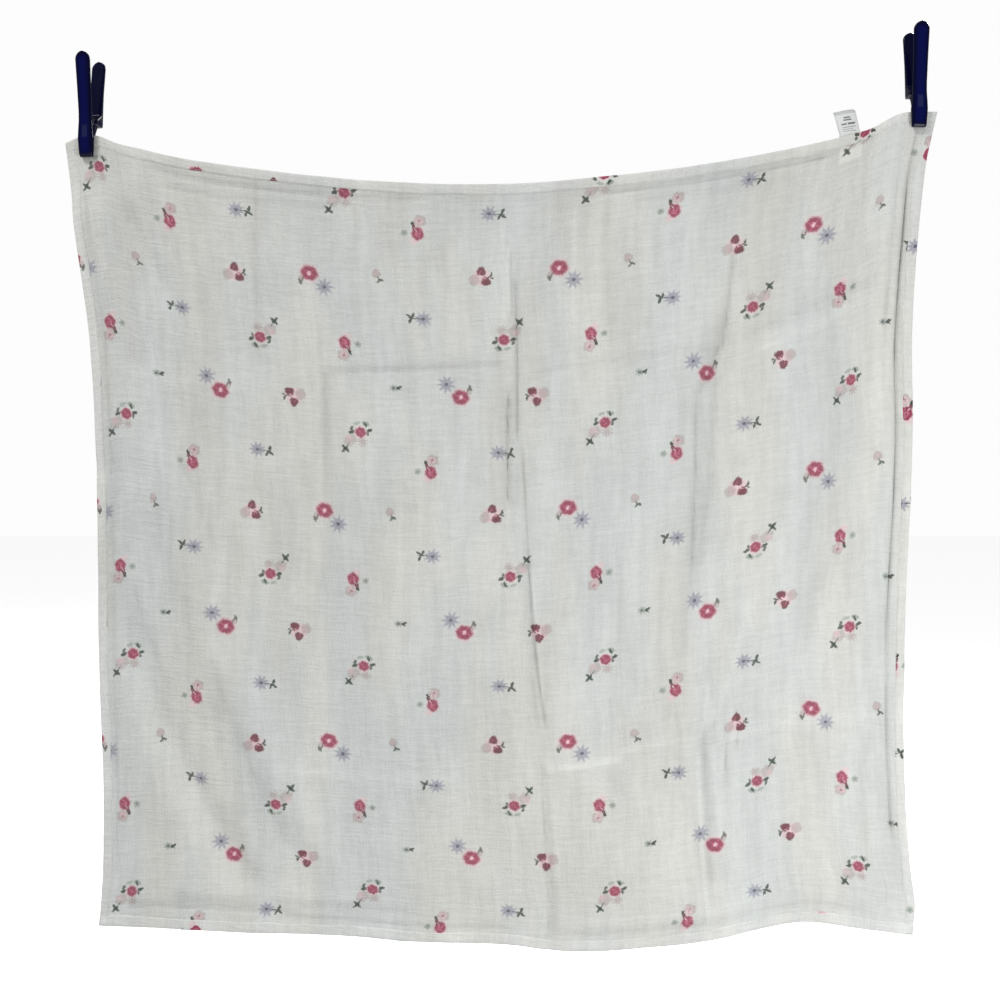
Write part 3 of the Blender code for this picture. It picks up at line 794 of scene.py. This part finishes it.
# Where each side runs and which way is in, as shares: (s0, t0) to (s1, t1), then the inward step,
# whether it laps over its neighbours, and how much cloth its fold takes up (metres).
HEM_SIDES = {
    "hem_left": ((0.0, 0.0), (0.0, 1.0), (1.0, 0.0), 0.0, 0.017),
    "hem_right": ((1.0, 1.0), (1.0, 0.0), (-1.0, 0.0), 0.0, 0.004),
    "hem_top": ((1.0, 0.0), (0.0, 0.0), (0.0, 1.0), 1.0, 0.0),
    "hem_bottom": ((0.0, 1.0), (1.0, 1.0), (0.0, -1.0), 1.0, 0.0),
}


def surface_frame(s, t, inward):
    """Points of the sheet with its direction away from an edge and its normal to the viewer."""
    step = 0.002
    in_s, in_t = inward
    point = cloth_surface(s, t)
    ahead = cloth_surface(s + in_s * step, t + in_t * step)
    across = ahead - point
    across = across / np.linalg.norm(across, axis=-1, keepdims=True)
    beside = np.gradient(point, axis=0)
    normal = np.cross(across, beside)
    normal = normal / np.linalg.norm(normal, axis=-1, keepdims=True)
    normal = normal * -np.sign(normal[..., 1:2])
    return point, across, normal


def side_length(inward):
    """Length of the side that this way in belongs to, and the cloth's size at right angles to it."""
    return (HANG_WIDTH, HANG_HEIGHT) if inward[0] == 0 else (HANG_HEIGHT, HANG_WIDTH)


def beside_edge(start, end, inward, q, inset):
    """Shares of the cloth's width and height at shares q of a side, inset metres in from its edge."""
    deep = side_length(inward)[1]
    s = start[0] + (end[0] - start[0]) * q + inward[0] * inset / deep
    t = start[1] + (end[1] - start[1]) * q + inward[1] * inset / deep
    return s, t


def hem_band(start, end, inward, lapped, taken):
    """A closed section carried along one edge, on the sheet's own surface. Its width and height
    waver, and it swells at its ends where it laps over the hems at the sides."""
    q = np.linspace(0.0, 1.0, HEM_SECTIONS)[:, None]
    inner, height, threads = (np.array(HEM_SECTION).T / 1000)[:, None, :]
    length = side_length(inward)[0]
    at = q * length
    seed = 31 + int(lapped) + 2 * int(end[0] + end[1])  # another one for each side
    waver = crinkle(at, at, WAVER_LENGTH, WHOLE_LENGTH, seed)
    slanted = at + PUCKER_SLANT * inner
    pucker = crinkle(slanted, at + 0 * inner, PUCKER_LENGTH, WHOLE_LENGTH, seed + 7)
    inner = inner * (1 + HEM_WAVER * waver)
    s, t = beside_edge(start, end, inward, q, np.maximum(inner, 0.0))
    point, across, normal = surface_frame(s, t, inward)
    held, _ = jaw_hold(point[..., 0], point[..., 2])
    corner = np.exp(-((np.minimum(q, 1 - q) * length / LAP_LENGTH) ** 2))
    lap = 1 + HEM_LAP * lapped * corner
    front = np.where(height > 0, (1 + HEM_PUCKER * pucker) * lap * (1 - HEM_PRESSED * held), 1.0)
    point = point + across * np.minimum(inner, 0.0)[..., None] + normal * (height * front)[..., None]
    return point, print_place(*beside_edge(start, end, inward, q, threads - taken))


def tube_faces(rows, columns):
    """Quads round a closed section of this many columns, carried through the rows."""
    low = (np.arange(rows - 1) * columns)[:, None] + np.arange(columns)
    turned = (np.arange(rows - 1) * columns)[:, None] + (np.arange(columns) + 1) % columns
    return np.stack([low, turned, turned + columns, low + columns], axis=-1).reshape(-1, 4)


def close_ends(piece, rows, columns):
    """Caps the first and last section and turns every face outwards."""
    shell = bmesh.new()
    shell.from_mesh(piece.data)
    shell.verts.ensure_lookup_table()
    for first in (0, (rows - 1) * columns):
        shell.faces.new([shell.verts[first + i] for i in range(columns)])
    bmesh.ops.recalc_face_normals(shell, faces=shell.faces)
    shell.to_mesh(piece.data)
    shell.free()


for name, (start, end, inward, lapped, taken) in HEM_SIDES.items():
    points, uv = hem_band(start, end, inward, lapped, taken)
    band = mesh_piece(name, points, tube_faces(*points.shape[:2]), uv, (right_side,))
    close_ends(band, *points.shape[:2])
    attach(band, "root")

# ---------------------------------------------------------------------------------------------------
# The hem stitching. White cotton lockstitch near each band's inner edge, one row that shows on both
# sides of the cloth.

STITCH_LENGTH = 0.0027
STITCH_PITCH = 0.0034
STITCH_RADIUS = 0.00024
STITCH_INSET = 0.0112  # in from the edge
STITCH_FRONT = 0.00142  # height off the sheet's middle surface, on the band and behind the cloth
STITCH_BACK = -0.00055
# A stitch's outline: share of its length along it, share of its radius.
STITCH_PROFILE = ((-0.5, 0.25), (-0.40, 0.85), (0.0, 1.0), (0.40, 0.85), (0.5, 0.25))
STITCH_SIDES = 5


def thread_material():
    """White cotton thread, slightly uneven where its plies twist."""
    look, tree, shader = new_look("sewing_thread")
    place = node(tree, "ShaderNodeTexCoord").outputs["Object"]
    twist = noise(tree, place, (2600.0, 2600.0, 2600.0), 1.0)[0]
    colour = mix(tree, twist, linear(206, 208, 203), linear(232, 233, 230))
    tree.links.new(colour, shader["Base Color"])
    tree.links.new(bumped(tree, twist, 0.4, 0.0001), shader["Normal"])
    shader["Roughness"].default_value = 0.75
    return look


def stitch_row(middle, forward, out):
    """Short spindles, one at each middle, lying along forward and standing towards out."""
    profile = np.array(STITCH_PROFILE)
    turn = np.linspace(0.0, 2 * math.pi, STITCH_SIDES, endpoint=False)
    side = np.cross(forward, out)
    ring = (
        np.cos(turn)[:, None] * side[:, None, None, :] + np.sin(turn)[:, None] * out[:, None, None, :]
    )
    points = (
        middle[:, None, None, :]
        + forward[:, None, None, :] * (profile[:, 0] * STITCH_LENGTH)[:, None, None]
        + ring * (profile[:, 1] * STITCH_RADIUS)[:, None, None]
    )
    count, rings, sides, _ = points.shape
    quads = tube_faces(rings, sides)
    quads = (np.arange(count)[:, None, None] * rings * sides + quads).reshape(-1, 4)
    first = np.arange(count)[:, None] * rings * sides
    last = first + (rings - 1) * sides
    caps = np.concatenate([first + np.arange(sides)[::-1], last + np.arange(sides)])
    return points.reshape(-1, 3), quads, caps


def stitches(name, rows, look):
    """All the rows as one mesh of quads and end caps."""
    points, faces, total = [], [], 0
    for middle, forward, out in rows:
        row_points, quads, caps = stitch_row(middle, forward, out)
        points.append(row_points)
        faces += (quads + total).tolist() + (caps + total).tolist()
        total += len(row_points)
    mesh = bpy.data.meshes.new(name)
    mesh.from_pydata(np.concatenate(points), [], faces)
    mesh.shade_smooth()
    mesh.materials.append(look)
    return placed(name, mesh)


thread = thread_material()
rows = []
for start, end, inward, *_ in HEM_SIDES.values():
    length = side_length(inward)[0]
    margin = STITCH_INSET / length
    q = np.arange(margin, 1.0 - margin, STITCH_PITCH / length)[:, None]
    s, t = beside_edge(start, end, inward, q, STITCH_INSET)
    point, across, normal = (part[:, 0] for part in surface_frame(s, t, inward))
    forward = np.cross(across, normal)
    held, _ = jaw_hold(point[:, 0], point[:, 2])
    for lift in (STITCH_FRONT * (1 - HEM_PRESSED * held), STITCH_BACK * np.ones_like(held)):
        rows.append((point + normal * lift[:, None], forward, normal))
hem_stitches = stitches("hem_stitches", rows, thread)
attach(hem_stitches, "root")

# ---------------------------------------------------------------------------------------------------
# The care label. A white satin-faced ribbon folded in two at its top and caught behind the top hem;
# its near leaf is printed with plain grey bars and stands above the edge, leaning to the left.

LABEL_SHARE = 0.8945  # share of the top edge where it is sewn
LABEL_WIDTH = 0.029
LABEL_BELOW = 0.031
LABEL_ABOVE = 0.033
LABEL_LEAN = math.radians(12)
LABEL_BEND = 0.008  # height over which it comes to that lean
LABEL_CURL = 0.0030  # how far its head bends back
LABEL_CUP = 0.0016  # four times what its sides bend back there
LABEL_SHEET = 0.00028
LEAF_NEAR = 0.0014  # each leaf's distance behind the cloth's middle surface
LEAF_FAR = 0.0026
LEAF_SLIP = 0.0012  # the far leaf shows past the near one by this, to the left and above
LABEL_COLUMNS = 25


def label_material():
    """Ribbon with a greyer folded head and generic bars, read from the label's own UV map, whose v
    runs up the near leaf from 0 to 1 and down the far leaf from 1 to 2."""
    look, tree, shader = new_look("label_ribbon")
    place = node(tree, "ShaderNodeUVMap", uv_map="print").outputs[0]
    part = node(tree, "ShaderNodeSeparateXYZ", ((0, place),)).outputs

    def bar(left, right, low, high):
        """1 inside these sides of the label's map and 0 outside, with a soft edge."""
        edge = 0.006
        inside = ramp(tree, part[0], left - edge, left + edge)
        for axis, start, end in (
            (0, right + edge, right - edge), (1, low - edge, low + edge), (1, high + edge, high - edge),
        ):
            inside = maths(tree, "MULTIPLY", inside, ramp(tree, part[axis], start, end))
        return inside

    ribs = maths(tree, "SINE", maths(tree, "MULTIPLY", part[1], 620.0))
    grain = noise(tree, place, (90.0, 220.0), 2.0)[0]
    colour = mix(tree, grain, linear(222, 224, 222), linear(240, 241, 240))
    head = maths(tree, "MULTIPLY", bar(-0.1, 1.1, 0.93, 1.07), 0.8)
    colour = mix(tree, head, colour, linear(196, 199, 197))
    for left, right, low, high, ink in (
        (0.34, 0.66, 0.835, 0.865, linear(120, 124, 128)),
        (0.30, 0.70, 0.785, 0.815, linear(120, 124, 128)),
        (0.16, 0.42, 0.700, 0.735, linear(130, 132, 136)),
        (0.47, 0.84, 0.700, 0.735, linear(88, 90, 94)),
        (0.16, 0.84, 0.640, 0.660, linear(170, 172, 174)),
        (0.16, 0.70, 0.600, 0.616, linear(176, 178, 180)),
        (0.16, 0.80, 0.560, 0.576, linear(176, 178, 180)),
    ):
        colour = mix(tree, bar(left, right, low, high), colour, ink)
    tree.links.new(colour, shader["Base Color"])
    tree.links.new(bumped(tree, ribs, 0.3, 0.0001), shader["Normal"])
    shader["Roughness"].default_value = 0.42
    shader["Sheen Weight"].default_value = 0.15
    return look


def label_surface():
    """The ribbon walked up its near leaf, over a round fold and down its far leaf. Below the edge it
    follows the cloth's back, and above it leans over and bends back a little."""
    up = np.linspace(-LABEL_BELOW, LABEL_ABOVE, 34)
    turn = np.linspace(0.0, math.pi, 9)[1:-1]
    fold = (LEAF_FAR - LEAF_NEAR) / 2
    steps = np.concatenate([up, LABEL_ABOVE + fold * np.sin(turn), up[::-1] + LEAF_SLIP])
    back = np.concatenate([
        np.full(len(up), LEAF_NEAR), (LEAF_NEAR + LEAF_FAR) / 2 - fold * np.cos(turn),
        np.full(len(up), LEAF_FAR),
    ])
    far_leaf = np.concatenate([np.zeros(len(up)), smooth_step(turn / math.pi), np.ones(len(up))])
    across = np.linspace(-0.5, 0.5, LABEL_COLUMNS) * LABEL_WIDTH
    edge_x, edge_z = along(TOP_EDGE, LABEL_SHARE)
    lean = LABEL_LEAN * smooth_step(steps / LABEL_BEND)
    middle = edge_x - np.tan(lean) * np.maximum(steps, 0.0) - LEAF_SLIP * far_leaf
    x = middle[:, None] + across * np.cos(lean)[:, None]
    z = (edge_z + steps)[:, None] + across * np.sin(lean)[:, None]
    s = LABEL_SHARE + (x - edge_x) / HANG_WIDTH
    t = np.maximum(along(TOP_EDGE, s)[..., 1] - z, 0.0) / HANG_HEIGHT
    above = np.maximum(steps, 0.0)[:, None] / LABEL_ABOVE
    bent = LABEL_CURL * above**2 + LABEL_CUP * (across / LABEL_WIDTH) ** 2 * above
    y = cloth_surface(s, t)[..., 1] + back[:, None] + bent
    gone = walked(np.stack([steps, back], axis=1))
    half = gone[len(up) + len(turn) // 2]
    uv = np.stack(np.broadcast_arrays(across / LABEL_WIDTH + 0.5, (gone / half)[:, None]), axis=-1)
    return np.stack([x, y, z], axis=-1), uv


points, uv = label_surface()
label = mesh_piece(
    "ribbon_label", points, grid_faces(*points.shape[:2])[:, ::-1], uv, (label_material(),)
)
leaf = label.modifiers.new("thickness", "SOLIDIFY")
leaf.thickness = LABEL_SHEET
leaf.offset = 0.0
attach(label, "root")
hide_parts("care_label")

# ---------------------------------------------------------------------------------------------------
# The clips' levers. Smooth navy plastic mouldings, two to a clip: a plain tongue in front and a back
# lever with a narrow jaw and a wide handle. Each outer face is hollowed slightly along its middle.

# Columns: height above the jaw's lower end, width, inner face's distance from the cloth's middle
# plane, thickness.
FRONT_LEVER = (
    (0.0000, 0.0185, 0.0018, 0.0045),
    (0.0030, 0.0200, 0.0017, 0.0064),
    (0.0240, 0.0218, 0.0017, 0.0080),
    (0.0340, 0.0205, 0.0038, 0.0062),
    (0.0470, 0.0190, 0.0034, 0.0064),
    (0.0600, 0.0190, 0.0044, 0.0056),
    (0.0950, 0.0198, 0.0080, 0.0050),
    (0.1280, 0.0210, 0.0114, 0.0046),
)
FRONT_TOP = 0.1386
BACK_LEVER = (
    (0.0000, 0.0100, 0.0018, 0.0045),
    (0.0030, 0.0120, 0.0017, 0.0060),
    (0.0240, 0.0120, 0.0017, 0.0068),
    (0.0340, 0.0120, 0.0038, 0.0062),
    (0.0460, 0.0120, 0.0034, 0.0120),
    (0.0470, 0.0185, 0.0034, 0.0190),
    (0.0520, 0.0190, 0.0040, 0.0186),
    (0.0620, 0.0190, 0.0150, 0.0080),
    (0.0950, 0.0194, 0.0195, 0.0052),
    (0.1300, 0.0200, 0.0240, 0.0048),
)
BACK_TOP = 0.1405
LEVER_CORNER = 0.0026
THINNEST_CORNER = 0.45  # a corner is never rounder than this share of the lever's width or thickness
LEVER_CROWN = 0.0005  # the outer face bulges by this much
CROWN_HALF = 0.009  # and by less where the lever's half width is less than this
SHARP_ANGLE = math.radians(38)
LEVER_ROWS = 120
DOME_ROWS = 20  # of those, the ones in the round top
CORNER_STEPS = 6
FACE_STEPS = 16
SIDE_STEPS = 3
# Each outer face is hollowed along its middle between these heights, and a small recess lies inside.
# The panel's share also paints each face darker towards its edges in the material: painted shade.
PANEL_DEPTH = 0.0004
PANEL_SHARE = 0.86  # of the lever's width
PANEL_EDGE = 0.55  # share over which the panel deepens from each side, and the painted edge shade with it
PANEL_END = 0.008  # length over which it runs out at each end
FRONT_PANEL = (0.001, 0.136)
BACK_PANEL = (0.056, 0.138)
RECESS_DEPTH = 0.0004
RECESS_SHARE = 0.40
RECESS_EDGE = 0.10
RECESS_END = 0.002
FRONT_RECESS = (0.0245, 0.0425)
BACK_RECESS = (0.0900, 0.1080)


def plastic_material():
    """Navy plastic, brighter blue along the hollowed middle and darker towards the edges, which is
    painted shade where the rounded edges turn from the light; greyer in the recess, with faint scuffs.
    """
    look, tree, shader = new_look("navy_plastic")
    place = node(tree, "ShaderNodeTexCoord").outputs["Object"]
    sunk_and_edge_shade = node(tree, "ShaderNodeAttribute", attribute_name="sunk_and_edge_shade").outputs["Fac"]
    recess = node(tree, "ShaderNodeAttribute", attribute_name="recess").outputs["Fac"]
    cloudy = noise(tree, place, (180.0, 180.0, 90.0), 3.0)[0]
    scuffs = noise(tree, place, (900.0, 900.0, 160.0), 4.0, 0.7)[0]
    # Painted shade: the face darkens from its middle towards its rounded edges.
    colour = mix(tree, sunk_and_edge_shade, linear(3, 4, 36), linear(5, 11, 74))
    colour = mix(tree, maths(tree, "MULTIPLY", recess, 0.6), colour, linear(46, 52, 84))
    colour = mix(tree, maths(tree, "MULTIPLY", cloudy, 0.30), colour, linear(8, 13, 58))
    worn = maths(tree, "MULTIPLY", ramp(tree, scuffs, 0.66, 0.80), 0.25)
    colour = mix(tree, worn, colour, linear(62, 72, 122))
    tree.links.new(colour, shader["Base Color"])
    tree.links.new(ramp(tree, scuffs, 0.3, 0.8, 0.10, 0.24), shader["Roughness"])
    tree.links.new(bumped(tree, cloudy, 0.15, 0.0002), shader["Normal"])
    shader["Specular IOR Level"].default_value = 0.09
    return look


def window(value, start, end, edge):
    """1 between start and end, fading to 0 over the edge inside both."""
    return smooth_step((value - start) / edge) * smooth_step((end - value) / edge)


def lever_surface(table, top, panel, recess, side):
    """Rounded rectangles, a quarter circle at each corner, carried up the lever's table; above its
    last row the width follows a half circle. The outer face bulges as a parabola, less the panel and
    the recess, whose shares come back too. side is -1 in front of the cloth and 1 behind it."""
    rows = np.array(table)
    straight, radius = rows[-1, 0], top - rows[-1, 0]
    low = np.linspace(0.0, straight, LEVER_ROWS - DOME_ROWS)
    turn = np.linspace(0.0, math.radians(89), DOME_ROWS + 1)[1:]
    height = np.concatenate([low, straight + radius * np.sin(turn)])
    level = np.minimum(height, straight)
    width, inner, thick = (np.interp(level, rows[:, 0], rows[:, k]) for k in (1, 2, 3))
    slope = (rows[-1, 2] - rows[-2, 2]) / (rows[-1, 0] - rows[-2, 0])
    inner = inner + slope * np.maximum(height - straight, 0.0)
    width[len(low):] *= np.cos(turn)
    half = width / 2
    corner = np.minimum(LEVER_CORNER, THINNEST_CORNER * np.minimum(width, thick))
    ring = []
    for start, to_x, to_y, steps in (
        (0, 1, 1, FACE_STEPS), (90, -1, 1, SIDE_STEPS),
        (180, -1, -1, FACE_STEPS), (270, 1, -1, SIDE_STEPS),
    ):
        for angle in np.radians(start + np.linspace(0, 90, CORNER_STEPS)):
            ring.append([
                to_x * (half - corner) + corner * np.cos(angle),
                to_y * (thick / 2 - corner) + corner * np.sin(angle),
            ])
        from_x, from_y = ring[-1]
        turned = math.radians(start + 90)
        next_x, next_y = -to_y, to_x
        goal_x = next_x * (half - corner) + corner * np.cos(turned)
        goal_y = next_y * (thick / 2 - corner) + corner * np.sin(turned)
        for share in np.linspace(0, 1, steps + 2)[1:-1]:
            ring.append([from_x + (goal_x - from_x) * share, from_y + (goal_y - from_y) * share])
    x, y = np.moveaxis(np.array(ring), 1, 0).transpose(0, 2, 1)
    across = x / np.maximum(half, 1e-6)[:, None]
    outer = smooth_step(y / (thick / 2)[:, None] * 4 - 3)
    sunk_and_edge_shade = window(height, *panel, PANEL_END)[:, None] * outer
    sunk_and_edge_shade = sunk_and_edge_shade * smooth_step((PANEL_SHARE - np.abs(across)) / PANEL_EDGE)
    deeper = window(height, *recess, RECESS_END)[:, None] * outer
    deeper = deeper * smooth_step((RECESS_SHARE - np.abs(across)) / RECESS_EDGE)
    y = inner[:, None] + thick[:, None] / 2 + y
    y = y + outer * LEVER_CROWN * (1 - across**2) * np.minimum(half / CROWN_HALF, 1.0)[:, None]
    y = y - PANEL_DEPTH * sunk_and_edge_shade - RECESS_DEPTH * deeper
    z = np.broadcast_to(height[:, None], x.shape)
    return np.stack([x, side * y, z], axis=-1), sunk_and_edge_shade, deeper


def clip_place(points, x, z, turn):
    """Points of a clip's own frame, turned about the vertical and set at its place on the hem."""
    c, s = math.cos(math.radians(turn)), math.sin(math.radians(turn))
    return np.stack(
        [x + c * points[..., 0] - s * points[..., 1], s * points[..., 0] + c * points[..., 1],
         z + points[..., 2]],
        axis=-1,
    )


plastic = plastic_material()
for name, (x, z, turn) in CLIPS.items():
    for lever, table, top, panel, recess, side in (
        ("front_lever", FRONT_LEVER, FRONT_TOP, FRONT_PANEL, FRONT_RECESS, -1),
        ("back_lever", BACK_LEVER, BACK_TOP, BACK_PANEL, BACK_RECESS, 1),
    ):
        points, sunk_and_edge_shade, deeper = lever_surface(table, top, panel, recess, side)
        piece = mesh_piece(
            f"{name}_{lever}_moulding", clip_place(points, x, z, turn), tube_faces(*sunk_and_edge_shade.shape),
            None, (plastic,),
        )
        add_values(piece, "sunk_and_edge_shade", sunk_and_edge_shade)
        add_values(piece, "recess", deeper)
        close_ends(piece, *sunk_and_edge_shade.shape)
        piece.data.set_sharp_from_angle(angle=SHARP_ANGLE)
        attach(piece, "root")
        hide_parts(f"{name}_{lever}")

# ---------------------------------------------------------------------------------------------------
# The clips' springs. A coil of steel wire across each clip between its levers, with a straight leg
# from each end that presses up against a lever's inner face.

SPRING_HEIGHT = 0.0470
COIL_RADIUS = 0.0023
WIRE_RADIUS = 0.0006
COIL_TURNS = 7.5
COIL_LENGTH = 0.0125
LEG_LENGTH = 0.0045
LEG_SPLAY = 0.08  # how far each leg leans out for its length
TURN_STEPS = 24
LEG_STEPS = 9
WIRE_SIDES = 10


def steel_material():
    """Dull drawn steel, streaked along the wire's turns."""
    look, tree, shader = new_look("spring_steel")
    place = node(tree, "ShaderNodeTexCoord").outputs["Object"]
    drawn = noise(tree, place, (2400.0, 600.0, 600.0), 3.0)[0]
    colour = mix(tree, drawn, linear(84, 86, 92), linear(118, 120, 126))
    tree.links.new(colour, shader["Base Color"])
    tree.links.new(ramp(tree, drawn, 0.2, 0.8, 0.34, 0.52), shader["Roughness"])
    shader["Metallic"].default_value = 1.0
    return look


def spring_path():
    """A helix round the clip's cross axis from one leg's foot to the other's, each leg a straight
    run up from the coil's side."""
    turn = np.linspace(0.0, 2 * math.pi * COIL_TURNS, int(COIL_TURNS * TURN_STEPS))
    coil = np.stack([
        (turn / turn[-1] - 0.5) * COIL_LENGTH,
        -COIL_RADIUS * np.cos(turn),
        -COIL_RADIUS * np.sin(turn),
    ], axis=-1)
    rise = np.linspace(1.0, 0.0, LEG_STEPS)[:-1, None] * LEG_LENGTH
    first = coil[0] + rise * np.array([0.0, -LEG_SPLAY, 1.0])
    last = coil[-1] + rise[::-1] * np.array([0.0, LEG_SPLAY, 1.0])
    return np.concatenate([first, coil, last]) + np.array([0.0, 0.0, SPRING_HEIGHT])


def wire_surface(path, radius, sides):
    """A round section carried along a path, turned to face along it at each point."""
    forward = np.gradient(path, axis=0)
    forward = forward / np.linalg.norm(forward, axis=1, keepdims=True)
    side = np.cross(forward, np.array([1.0, 0.0, 0.0]))
    side = side / np.linalg.norm(side, axis=1, keepdims=True)
    out = np.cross(forward, side)
    angle = np.linspace(0.0, 2 * math.pi, sides, endpoint=False)[:, None]
    ring = np.cos(angle) * side[:, None] + np.sin(angle) * out[:, None]
    return path[:, None] + radius * ring


steel = steel_material()
for name, (x, z, turn) in CLIPS.items():
    points = wire_surface(clip_place(spring_path(), x, z, turn), WIRE_RADIUS, WIRE_SIDES)
    coil = mesh_piece(f"{name}_spring_wire", points, tube_faces(*points.shape[:2]), None, (steel,))
    close_ends(coil, *points.shape[:2])
    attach(coil, "root")
    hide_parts(f"{name}_spring")

# ---------------------------------------------------------------------------------------------------
# The studio. A plain pale floor below the hanging blanket, an even pale surround, soft lights from
# the upper left and the lower right in front and from behind, and the camera square on to the cloth.

FLOOR_DROP = 0.45  # below the blanket's lower edge
FLOOR_REACH = 30.0
FLOOR_GLOW = 0.62
SURROUND = 0.36  # strength of the light that the surround gives
BACKGROUND = 0.98  # and its strength where the camera sees it
AIM = (0.0, 0.0, -0.65)  # where the lamps point
# Columns: place, disk's width (metres), power (watts).
LAMPS = {
    "key": ((-3.2, -2.6, 4.2), 1.6, 205.0),
    "fill": ((1.2, -1.6, -1.4), 0.9, 24.0),
    "back": ((2.6, 3.4, 2.4), 1.2, 170.0),
}
VIEW_DISTANCE = 1.45
VIEW_WIDTH = 1.36  # of the picture, at the cloth
VIEW_CENTRE = (-0.0041, -0.6256)
SENSOR = 36.0

floor_mesh = bpy.data.meshes.new("floor")
level = BOTTOM_EDGE[6][1] - FLOOR_DROP
corners = [(x * FLOOR_REACH, y * FLOOR_REACH, level) for x, y in ((-1, -1), (1, -1), (1, 1), (-1, 1))]
floor_mesh.from_pydata(corners, [], [(0, 1, 2, 3)])
floor = placed("floor", floor_mesh)
pale, _, shader = new_look("pale_floor")
shader["Base Color"].default_value = (0.9, 0.9, 0.9, 1.0)
shader["Roughness"].default_value = 0.9
shader["Emission Color"].default_value = (1.0, 1.0, 1.0, 1.0)
shader["Emission Strength"].default_value = FLOOR_GLOW
floor_mesh.materials.append(pale)
floor.visible_diffuse = False

world = bpy.data.worlds.new("studio")
bpy.context.scene.world = world
world.use_nodes = True
sky = world.node_tree
for old in list(sky.nodes):
    sky.nodes.remove(old)
seen = node(sky, "ShaderNodeBackground", (("Color", (1.0, 1.0, 1.0, 1.0)), ("Strength", BACKGROUND)))
lit = node(sky, "ShaderNodeBackground", (("Color", (1.0, 1.0, 1.0, 1.0)), ("Strength", SURROUND)))
ray = node(sky, "ShaderNodeLightPath").outputs["Is Camera Ray"]
both = node(sky, "ShaderNodeMixShader", ((0, ray), (1, lit.outputs[0]), (2, seen.outputs[0])))
node(sky, "ShaderNodeOutputWorld", ((0, both.outputs[0]),))

for name, (place, size, power) in LAMPS.items():
    disk = bpy.data.lights.new(name, "AREA")
    disk.shape = "DISK"
    disk.size = size
    disk.energy = power
    lamp = placed(name, disk)
    facing = (Vector(AIM) - Vector(place)).to_track_quat("-Z", "Y")
    lamp.matrix_world = Matrix.Translation(place) @ facing.to_matrix().to_4x4()
    lamp.visible_camera = False

eye = bpy.data.cameras.new("view")
eye.sensor_width = SENSOR
eye.lens = SENSOR * VIEW_DISTANCE / VIEW_WIDTH
camera = placed("view", eye)
camera.location = (VIEW_CENTRE[0], -VIEW_DISTANCE, VIEW_CENTRE[1])
camera.rotation_euler = (math.radians(90), 0.0, 0.0)
bpy.context.scene.camera = camera
bpy.context.scene.view_settings.view_transform = "Standard"
